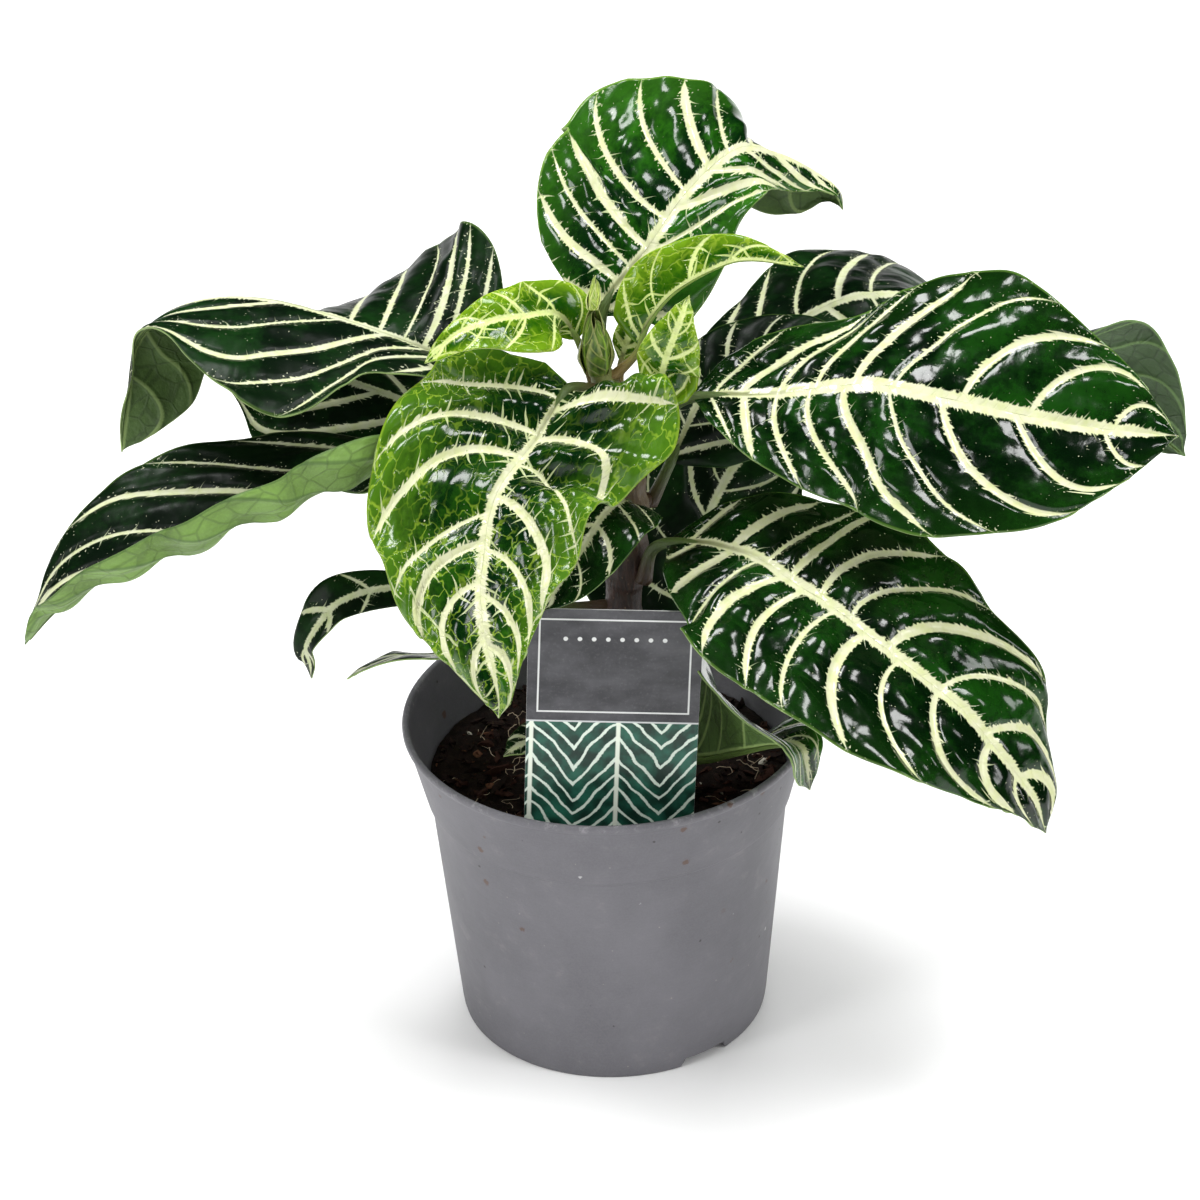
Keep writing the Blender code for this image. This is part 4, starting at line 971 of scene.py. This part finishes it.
def make_soil():
    turns = np.arange(240) * 2 * np.pi / 240
    rings = np.linspace(0.2, SOIL_RADIUS, 56)
    r, a = np.meshgrid(rings, turns, indexing="ij")
    top = np.stack([r * np.cos(a), r * np.sin(a), soil_height(r * np.cos(a), r * np.sin(a))], -1)
    below = [(51.9, 76.0), (50.6, 72.0), (46.0, 40.0), (43.9, 6.2), (42.4, 5.0), (13.0, 5.0), (11.6, 1.6), (0.2, 1.6)]
    side = np.array([[(radius * math.cos(t), radius * math.sin(t), z) for t in turns] for radius, z in below])
    points = np.concatenate([top, side])
    quads = grid_quads(len(points), len(turns), ring=True, flip=True)
    mat = soil_material("potting_soil_bed", (0.004, 0.0022, 0.0018), (0.018, 0.009, 0.006), 0.9)
    bed = add_piece("soil_bed", points, quads, [mat], values={"tint": np.zeros((points.size // 3, 3))})
    hand_over(bed, "soil")

    # Crumbs and bark bits lying on the bed
    ring_turns = np.arange(6) * np.pi / 3
    points, quads, tints = [], [], []
    for number in range(CRUMBS):
        far, turn = SOIL_RADIUS * 0.985 * math.sqrt(pick.random()), 2 * math.pi * pick.random()
        tint = pick.random()
        size = 0.35 + 1.5 * pick.random() ** 2.5
        if tint > 0.96:
            size *= 0.6
        stretch = np.array([1 + 1.6 * pick.random(), 1.0, 0.55]) * size
        x, y = far * math.cos(turn), far * math.sin(turn)
        ball = [(math.cos(t) * w, math.sin(t) * w, h) for w, h in ((0.25, -0.9), (0.95, -0.45), (1.0, 0.3), (0.35, 0.9)) for t in ring_turns]
        ball = np.array(ball) * (1 + 0.28 * pick.standard_normal((24, 1))) * stretch
        spin = Matrix.Rotation(2 * math.pi * pick.random(), 3, "Z") @ Matrix.Rotation(0.7 * pick.standard_normal(), 3, "X")
        height = soil_height(np.array([x]), np.array([y]))[0]
        place = ball @ np.array(spin).T + (x, y, height + 0.25 * size)
        far_out = np.hypot(place[:, 0], place[:, 1])
        place[:, :2] *= np.minimum(1, (SOIL_RADIUS + 0.2) / np.maximum(far_out, 1e-6))[:, None]
        quads.append(grid_quads(4, 6, len(points) * 24, ring=True, flip=True))
        points.append(place)
        tints.append(np.full((24, 3), tint))
    mat = soil_material("potting_soil_bits", (0.006, 0.003, 0.0024), (0.026, 0.012, 0.008), 0.35)
    bits = add_piece("soil_bits", np.concatenate(points), np.concatenate(quads), [mat], values={"tint": np.concatenate(tints)})
    for face in bits.data.polygons:
        face.use_smooth = False
    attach(bits, ROOT)

    # Fine root fibres
    points, quads = [], []
    for number in range(FIBRES):
        far, turn = SOIL_RADIUS * 0.93 * math.sqrt(pick.random()), 2 * math.pi * pick.random()
        heading = 2 * math.pi * pick.random()
        line = []
        x, y = far * math.cos(turn), far * math.sin(turn)
        for k in range(9):
            if math.hypot(x, y) > SOIL_RADIUS - 1:
                x, y = x * 0.97, y * 0.97
            lift = 0.25 + 0.9 * math.sin(math.pi * k / 8) * pick.random()
            line.append((x, y, soil_height(np.array([x]), np.array([y]))[0] + lift))
            heading += 0.45 * pick.standard_normal()
            x, y = x + 1.1 * math.cos(heading), y + 1.1 * math.sin(heading)
        line = np.array(line)
        ahead = unit(np.gradient(line, axis=0))
        side = unit(np.cross(ahead, (0, 0, 1)))
        up = np.cross(side, ahead)
        radius = (0.09 + 0.09 * pick.random()) * np.linspace(1, 0.5, 9)[:, None]
        rod = [line + radius * (math.cos(t) * side + math.sin(t) * up) for t in np.arange(4) * np.pi / 2]
        quads.append(grid_quads(9, 4, number * 36, ring=True))
        points.append(np.stack(rod, 1).reshape(-1, 3))
    g = Shade("root_fibre", 0.7)
    place, _, _, _ = object_mm(g)
    g.colour(g.mix(g.noise(place, 0.4, 3.0), (0.3, 0.17, 0.09), (0.75, 0.66, 0.5)))
    g.bump(g.mul(g.noise(place, 3.0, 2.0), 0.1))
    fibres = add_piece("soil_fibres", np.concatenate(points), np.concatenate(quads), [g.mat])
    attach(fibres, ROOT)


make_soil()


def make_stem():
    """Woody stem with swollen nodes, pale pores and bark grain."""
    line = even_samples(STEM_POINTS, 260)
    steps = np.concatenate([[0], np.cumsum(np.linalg.norm(np.diff(line, axis=0), axis=1))])
    ahead = unit(np.gradient(line, axis=0))
    side = unit(np.cross(ahead, (0, 1, 0)))
    up = np.cross(side, ahead)
    radius = np.interp(line[:, 2], [p[2] for p in STEM_POINTS], STEM_RADII)
    for spec in LEAVES.values():
        radius = radius + 0.55 * np.exp(-(((line[:, 2] - spec["rib"][0][2] + 2.5) / 1.6) ** 2))
    turns = np.arange(40) * np.pi / 20
    still = np.zeros((len(line), len(turns)))
    sample = np.stack([np.cos(turns)[None] + still, np.sin(turns)[None] + still, line[:, 2:] / 14 + still], -1)
    wide = np.minimum(radius, 6.4)[:, None] * (1 + 0.07 * rough(sample * 1.6, 4) + 0.03 * rough(sample * (5, 5, 20), 5))
    ring = np.cos(turns)[None, :, None] * side[:, None] + np.sin(turns)[None, :, None] * up[:, None]
    points = line[:, None] + ring * wide[..., None]
    cap = line[-1] + ahead[-1] * 1.2 + 0 * points[-1:]
    points = np.concatenate([points, 0.5 * (points[-1:] + cap) + ahead[-1] * 0.5, cap])
    place = np.stack([steps[:, None] + still, turns[None] + still, line[:, 2:] + still], -1)
    place = np.concatenate([place, place[-1:], place[-1:]])
    g = Shade("stem_bark_ridged", 0.5)
    down, turn, height = g.split(g.value("place"))
    mm, x, y, z = object_mm(g)
    grain = g.noise(g.vector(g.mul(x, 1.1), g.mul(y, 1.1), g.mul(z, 0.16)), 1.0, 4.0, 0.65)
    tone = g.mix(g.step(grain, 0.3, 0.72), (0.012, 0.005, 0.003), (0.05, 0.019, 0.01))
    tone = g.mix(g.step(height, 150.0, 172.0), tone, g.mix(grain, (0.05, 0.03, 0.02), (0.17, 0.12, 0.05)))
    tone = g.mix(g.step(height, 188.0, 203.0), tone, g.mix(grain, (0.12, 0.13, 0.04), (0.26, 0.3, 0.08)))
    pores = g.step(g.cells(g.vector(g.mul(x, 0.7), g.mul(y, 0.7), g.mul(z, 0.35)), 1.0, "F1"), 0.16, 0.1)
    tone = g.mix(g.mul(pores, 0.5), tone, (0.2, 0.12, 0.07))
    g.colour(tone)
    g.bump(g.add(g.mul(grain, 0.7), g.mul(pores, 0.15)))
    quads = grid_quads(len(points), len(turns), ring=True)
    obj = add_piece("stem_wood", points, quads, [g.mat], values={"place": place})
    hand_over(obj, "stem")


make_stem()


def bud_material(name, inner, outer, edge):
    g = Shade(name, 0.32)
    up_way, across, layer = g.split(g.value("scale"))
    flat = g.vector(g.mul(across, 3.0), g.mul(up_way, 5.0), layer)
    wide = g.math("ABSOLUTE", across)
    tone = g.mix(g.step(g.noise(flat, 1.2, 3.0), 0.3, 0.7), inner, outer)
    ribs = g.math("ABSOLUTE", g.sub(g.math("FRACT", g.add(g.mul(up_way, 5.0), g.mul(wide, -1.6))), 0.5))
    tone = g.mix(g.mul(g.step(ribs, 0.12, 0.02), 0.7), tone, edge)
    tone = g.mix(g.step(wide, 0.1, 0.03), tone, tuple(min(1.0, 1.6 * c) for c in outer))
    tone = g.mix(g.mul(g.step(wide, 0.72, 1.0), 0.75), tone, edge)
    g.colour(tone)
    height = g.add(g.mul(g.step(ribs, 0.2, 0.0), -0.15), g.mul(g.step(wide, 0.15, 0.0), 0.2))
    g.bump(g.add(height, g.mul(g.noise(flat, 2.0, 3.0), 0.2)))
    return g.mat


def make_bud(name, node, base, tip, radius, scales, mat):
    """Bud of pointed scales in crossed pairs, each wrapped over the next."""
    base, tip = np.array(base, float), np.array(tip, float)
    length = np.linalg.norm(tip - base)
    ahead = (tip - base) / length
    side = unit(np.cross(ahead, (0, 1, 0)))
    front = np.cross(side, ahead)
    vertices, quads, values = [], [], []
    rows, cols = 34, 29
    for number in range(scales):
        share = number / max(scales - 1, 1)
        t = np.linspace(0, 1, rows)[:, None]
        u = np.linspace(-1, 1, cols)[None]
        high = length * (0.62 + 0.38 * share)
        bulge = np.sin(np.pi * np.clip(0.16 + 0.84 * t, 0, 1)) ** 0.7
        reach = radius * (1.0 - 0.34 * share) * bulge * (1 - 0.25 * t) + 0.15
        spread = math.radians(82) * (1 - t**2.2) ** 0.6 + 0.02
        angle = u * spread + math.pi * number / 2 * 1.03 + math.pi / 4
        flare = 0.5 * (1 - share) * t**3 + 0.18 * np.abs(u) ** 3
        for layer, shrink in ((0, 0.0), (1, 0.28)):
            r = np.maximum(reach + flare - shrink, 0.02)
            r = r * (1 + 0.05 * np.sin(14 * t - 5 * np.abs(u)) * (1 - t))
            points = base + ahead * (t * high)[..., None] + (r * np.cos(angle))[..., None] * side + (r * np.sin(angle))[..., None] * front
            vertices.append(points.reshape(-1, 3))
            values.append(np.stack([t + 0 * u, u + 0 * t, np.full((rows, cols), float(number))], -1).reshape(-1, 3))
            first = (2 * number + layer) * rows * cols
            quads.append(grid_quads(rows, cols, first, flip=layer == 1))
        first = 2 * number * rows * cols
        back = rows * cols
        i, j = np.arange(rows - 1), np.arange(cols - 1)
        left = first + np.stack([i * cols, (i + 1) * cols, back + (i + 1) * cols, back + i * cols], 1)
        right = left[:, ::-1] + cols - 1
        low = first + np.stack([j + 1, j, back + j, back + j + 1], 1)
        high_edge = low[:, ::-1] + (rows - 1) * cols
        quads += [left, right, low, high_edge]
    obj = add_piece(name, np.concatenate(vertices), np.concatenate(quads), [mat], values={"scale": np.concatenate(values)})
    hand_over(obj, node)


OLD_BUD = bud_material("bud_scales_brown", (0.03, 0.07, 0.008), (0.12, 0.2, 0.02), (0.3, 0.32, 0.1))
NEW_BUD = bud_material("bud_scales_green", (0.2, 0.33, 0.03), (0.5, 0.62, 0.12), (0.75, 0.8, 0.35))
make_bud("bud_large_scales", "bud_large", (0, 1, 212.5), (-1, -1, 236), 5.7, 6, OLD_BUD)
make_bud("bud_small_scales", "bud_small", (-1, 0, 233), (0.3, 0, 243.6), 2.3, 4, NEW_BUD)

# Tag
TAG_WIDTH = 49.4
TAG_FOOT_WIDTH = 48.4
TAG_THICK = 0.5
TAG_LENGTH = 74.5
TAG_STAKE_WIDTH = 20.0
TAG_STAKE_LENGTH = 26.0
TAG_SHOULDER = (-0.9, -44.0, 82.0)
TAG_LEAN_BACK = 6.7
TAG_TURN = 3.3
TAG_SPLIT = 39.5


def tag_material():
    """Printed card: slate above with a thin frame, a striped leaf pattern below."""
    g = Shade("tag_print", 0.34, Specular_IOR_Level=0.4)
    place, x, y, z = object_mm(g)
    smudge = g.noise(g.vector(g.mul(x, 0.05), g.mul(y, 0.09), 0.0), 1.0, 4.0, 0.6)
    slate = g.mix(g.step(smudge, 0.3, 0.75), (0.033, 0.033, 0.038), (0.09, 0.09, 0.1))
    slate = g.mix(g.mul(g.step(g.noise(place, 1.1, 4.0, 0.7), 0.5, 0.75), 0.2), slate, (0.2, 0.2, 0.21))
    wide = g.math("ABSOLUTE", x)
    top, low = TAG_LENGTH - 3.2, TAG_SPLIT + 3.0
    from_middle = g.math("ABSOLUTE", g.sub(y, (top + low) / 2))
    box = g.math("MAXIMUM", g.sub(wide, 21.4), g.sub(from_middle, (top - low) / 2))
    frame_line = g.step(g.math("ABSOLUTE", box), 0.32, 0.18)
    dot = g.math("ABSOLUTE", g.sub(g.math("FRACT", g.math("DIVIDE", g.add(x, 40.0), 4.0)), 0.5))
    dot = g.math("SQRT", g.add(g.mul(g.mul(dot, dot), 16.0), g.math("POWER", g.sub(y, top - 6.0), 2.0)))
    dots = g.mul(g.step(dot, 0.75, 0.55), g.step(wide, 16.4, 16.0))
    slate = g.mix(g.math("MAXIMUM", frame_line, dots), slate, (0.72, 0.73, 0.72))
    bend = g.mul(g.sub(g.noise(g.vector(g.mul(x, 0.07), g.mul(y, 0.07), 4.0), 1.0, 2.0), 0.5), 9.0)
    fold = g.math("ABSOLUTE", g.sub(g.math("FRACT", g.math("DIVIDE", g.add(x, 60.0), 24.7)), 0.5))
    slope = g.add(g.add(y, g.mul(fold, 26.0)), bend)
    stripe = g.math("ABSOLUTE", g.sub(g.math("FRACT", g.math("DIVIDE", slope, 5.2)), 0.5))
    jag = g.mul(g.sub(g.noise(place, 1.3, 3.0, 0.7), 0.5), 0.16)
    picture = g.mix(g.step(g.noise(place, 0.16, 3.0), 0.35, 0.7), (0.006, 0.03, 0.02), (0.02, 0.13, 0.085))
    picture = g.mix(g.step(g.add(stripe, jag), 0.15, 0.08), picture, (0.72, 0.82, 0.72))
    picture = g.mix(g.step(g.mul(fold, 24.7), 0.8, 0.4), picture, (0.8, 0.86, 0.74))
    picture = g.mix(g.step(g.add(y, g.mul(g.sub(g.noise(place, 0.5, 3.0), 0.5), 1.2)), 6.0, 5.0), picture, (0.3, 0.34, 0.34))
    face = g.mix(g.step(y, TAG_SPLIT - 0.1, TAG_SPLIT + 0.1), picture, slate)
    face = g.mix(g.step(g.math("ABSOLUTE", g.sub(y, TAG_SPLIT)), 0.3, 0.2), face, (0.6, 0.62, 0.62))
    back = g.mix(smudge, (0.55, 0.56, 0.56), (0.7, 0.7, 0.7))
    colour = g.mix(g.step(z, 0.22, 0.24), back, face)
    g.colour(colour)
    g.bump(g.add(g.mul(g.noise(place, 0.06, 2.0), 1.2), g.mul(g.noise(place, 4.0, 2.0), 0.02)))
    return g.mat


def make_tag():
    half, foot, stake = TAG_WIDTH / 2, TAG_FOOT_WIDTH / 2, TAG_STAKE_WIDTH / 2
    outline = [(-stake * 0.7, -TAG_STAKE_LENGTH * 0.75), (-1.5, -TAG_STAKE_LENGTH), (1.5, -TAG_STAKE_LENGTH), (stake * 0.7, -TAG_STAKE_LENGTH * 0.75), (stake, 0)]
    def corner(x, y, radius, start):
        return [(x + radius * math.cos(a), y + radius * math.sin(a)) for a in np.radians(np.linspace(start, start + 90, 9))]
    outline += corner(foot - 3, 3.0, 3.0, -90)
    outline += corner(half - 1.6, TAG_LENGTH - 1.6, 1.6, 0)
    outline += corner(-half + 1.6, TAG_LENGTH - 1.6, 1.6, 90)
    outline += corner(-foot + 3, 3.0, 3.0, 180)
    outline += [(-stake, 0)]
    count = len(outline)
    points = [(x * MM, y * MM, z * MM) for z in (-TAG_THICK / 2, TAG_THICK / 2) for x, y in outline]
    faces = [tuple(range(count))[::-1], tuple(range(count, 2 * count))]
    faces += [(i, (i + 1) % count, count + (i + 1) % count, count + i) for i in range(count)]
    mesh = bpy.data.meshes.new("tag_card")
    mesh.from_pydata(points, [], faces)
    mesh.materials.append(tag_material())
    tag = bpy.data.objects.new("tag_card", mesh)
    tag.rotation_euler = (math.radians(90 - TAG_LEAN_BACK), math.radians(TAG_TURN), 0)
    tag.location = tuple(v * MM for v in TAG_SHOULDER)
    bpy.context.scene.collection.objects.link(tag)
    edge = tag.modifiers.new("soft_edge", "BEVEL")
    edge.width = 0.08 * MM
    edge.segments = 2
    hand_over(tag, "plant_tag")


make_tag()


# Floor and lights
floor_material = Shade("pale_floor", 0.9)
spot = floor_material.node("TexCoord", out=3)
floor_material.colour(floor_material.mix(floor_material.noise(spot, 8.0, 4.0), (0.93, 0.93, 0.93), (0.95, 0.95, 0.95)))
bpy.ops.mesh.primitive_plane_add(size=14, location=(0, 3, 0))
floor = bpy.context.object
floor.name = "studio_floor"
floor.data.materials.append(floor_material.mat)

world = bpy.data.worlds.new("studio")
world.use_nodes = True
world.node_tree.nodes["Background"].inputs[0].default_value = (1, 1, 1, 1)
world.node_tree.nodes["Background"].inputs[1].default_value = 0.65
bpy.context.scene.world = world
world.cycles_visibility.glossy = False
bpy.context.scene.view_settings.view_transform = "Standard"


def softbox(name, place, width, height, power, mirrored=True):
    data = bpy.data.lights.new(name, "AREA")
    data.shape = "RECTANGLE"
    data.size = width
    data.size_y = height
    data.energy = power
    obj = bpy.data.objects.new(name, data)
    obj.location = place
    obj.rotation_euler = (Vector((0, 0, 0.15)) - Vector(place)).to_track_quat("-Z", "Y").to_euler()
    obj.visible_glossy = mirrored
    bpy.context.scene.collection.objects.link(obj)


softbox("softbox_over_left", (-0.55, 0.25, 1.55), 0.5, 0.34, 10)
softbox("softbox_over_right", (0.5, -0.35, 1.6), 0.5, 0.34, 9)
softbox("softbox_left", (-1.35, -0.9, 0.95), 0.4, 0.6, 7)
softbox("softbox_right", (1.4, -0.7, 1.0), 0.4, 0.6, 6)
softbox("ceiling_panel", (0, 0.1, 1.8), 1.8, 1.8, 12, mirrored=False)
softbox("softbox_behind", (0.3, 1.5, 1.3), 0.9, 0.6, 7, mirrored=False)

camera_data = bpy.data.cameras.new("photo_camera")
camera_data.lens = LENS
camera_data.sensor_width = 36
camera_data.clip_end = 50
camera = bpy.data.objects.new("photo_camera", camera_data)
back = Vector((0, -math.cos(ELEVATION), math.sin(ELEVATION)))
up = Vector((0, math.sin(ELEVATION), math.cos(ELEVATION)))
camera.location = back * DISTANCE + Vector(AIM) * MM + up * AIM_UP * MM
camera.matrix_world = (
    Matrix.Translation(camera.location)
    @ Matrix.Rotation(math.pi / 2 - ELEVATION, 4, "X")
    @ Matrix.Rotation(ROLL, 4, "Z")
)
bpy.context.scene.collection.objects.link(camera)
bpy.context.scene.camera = camera
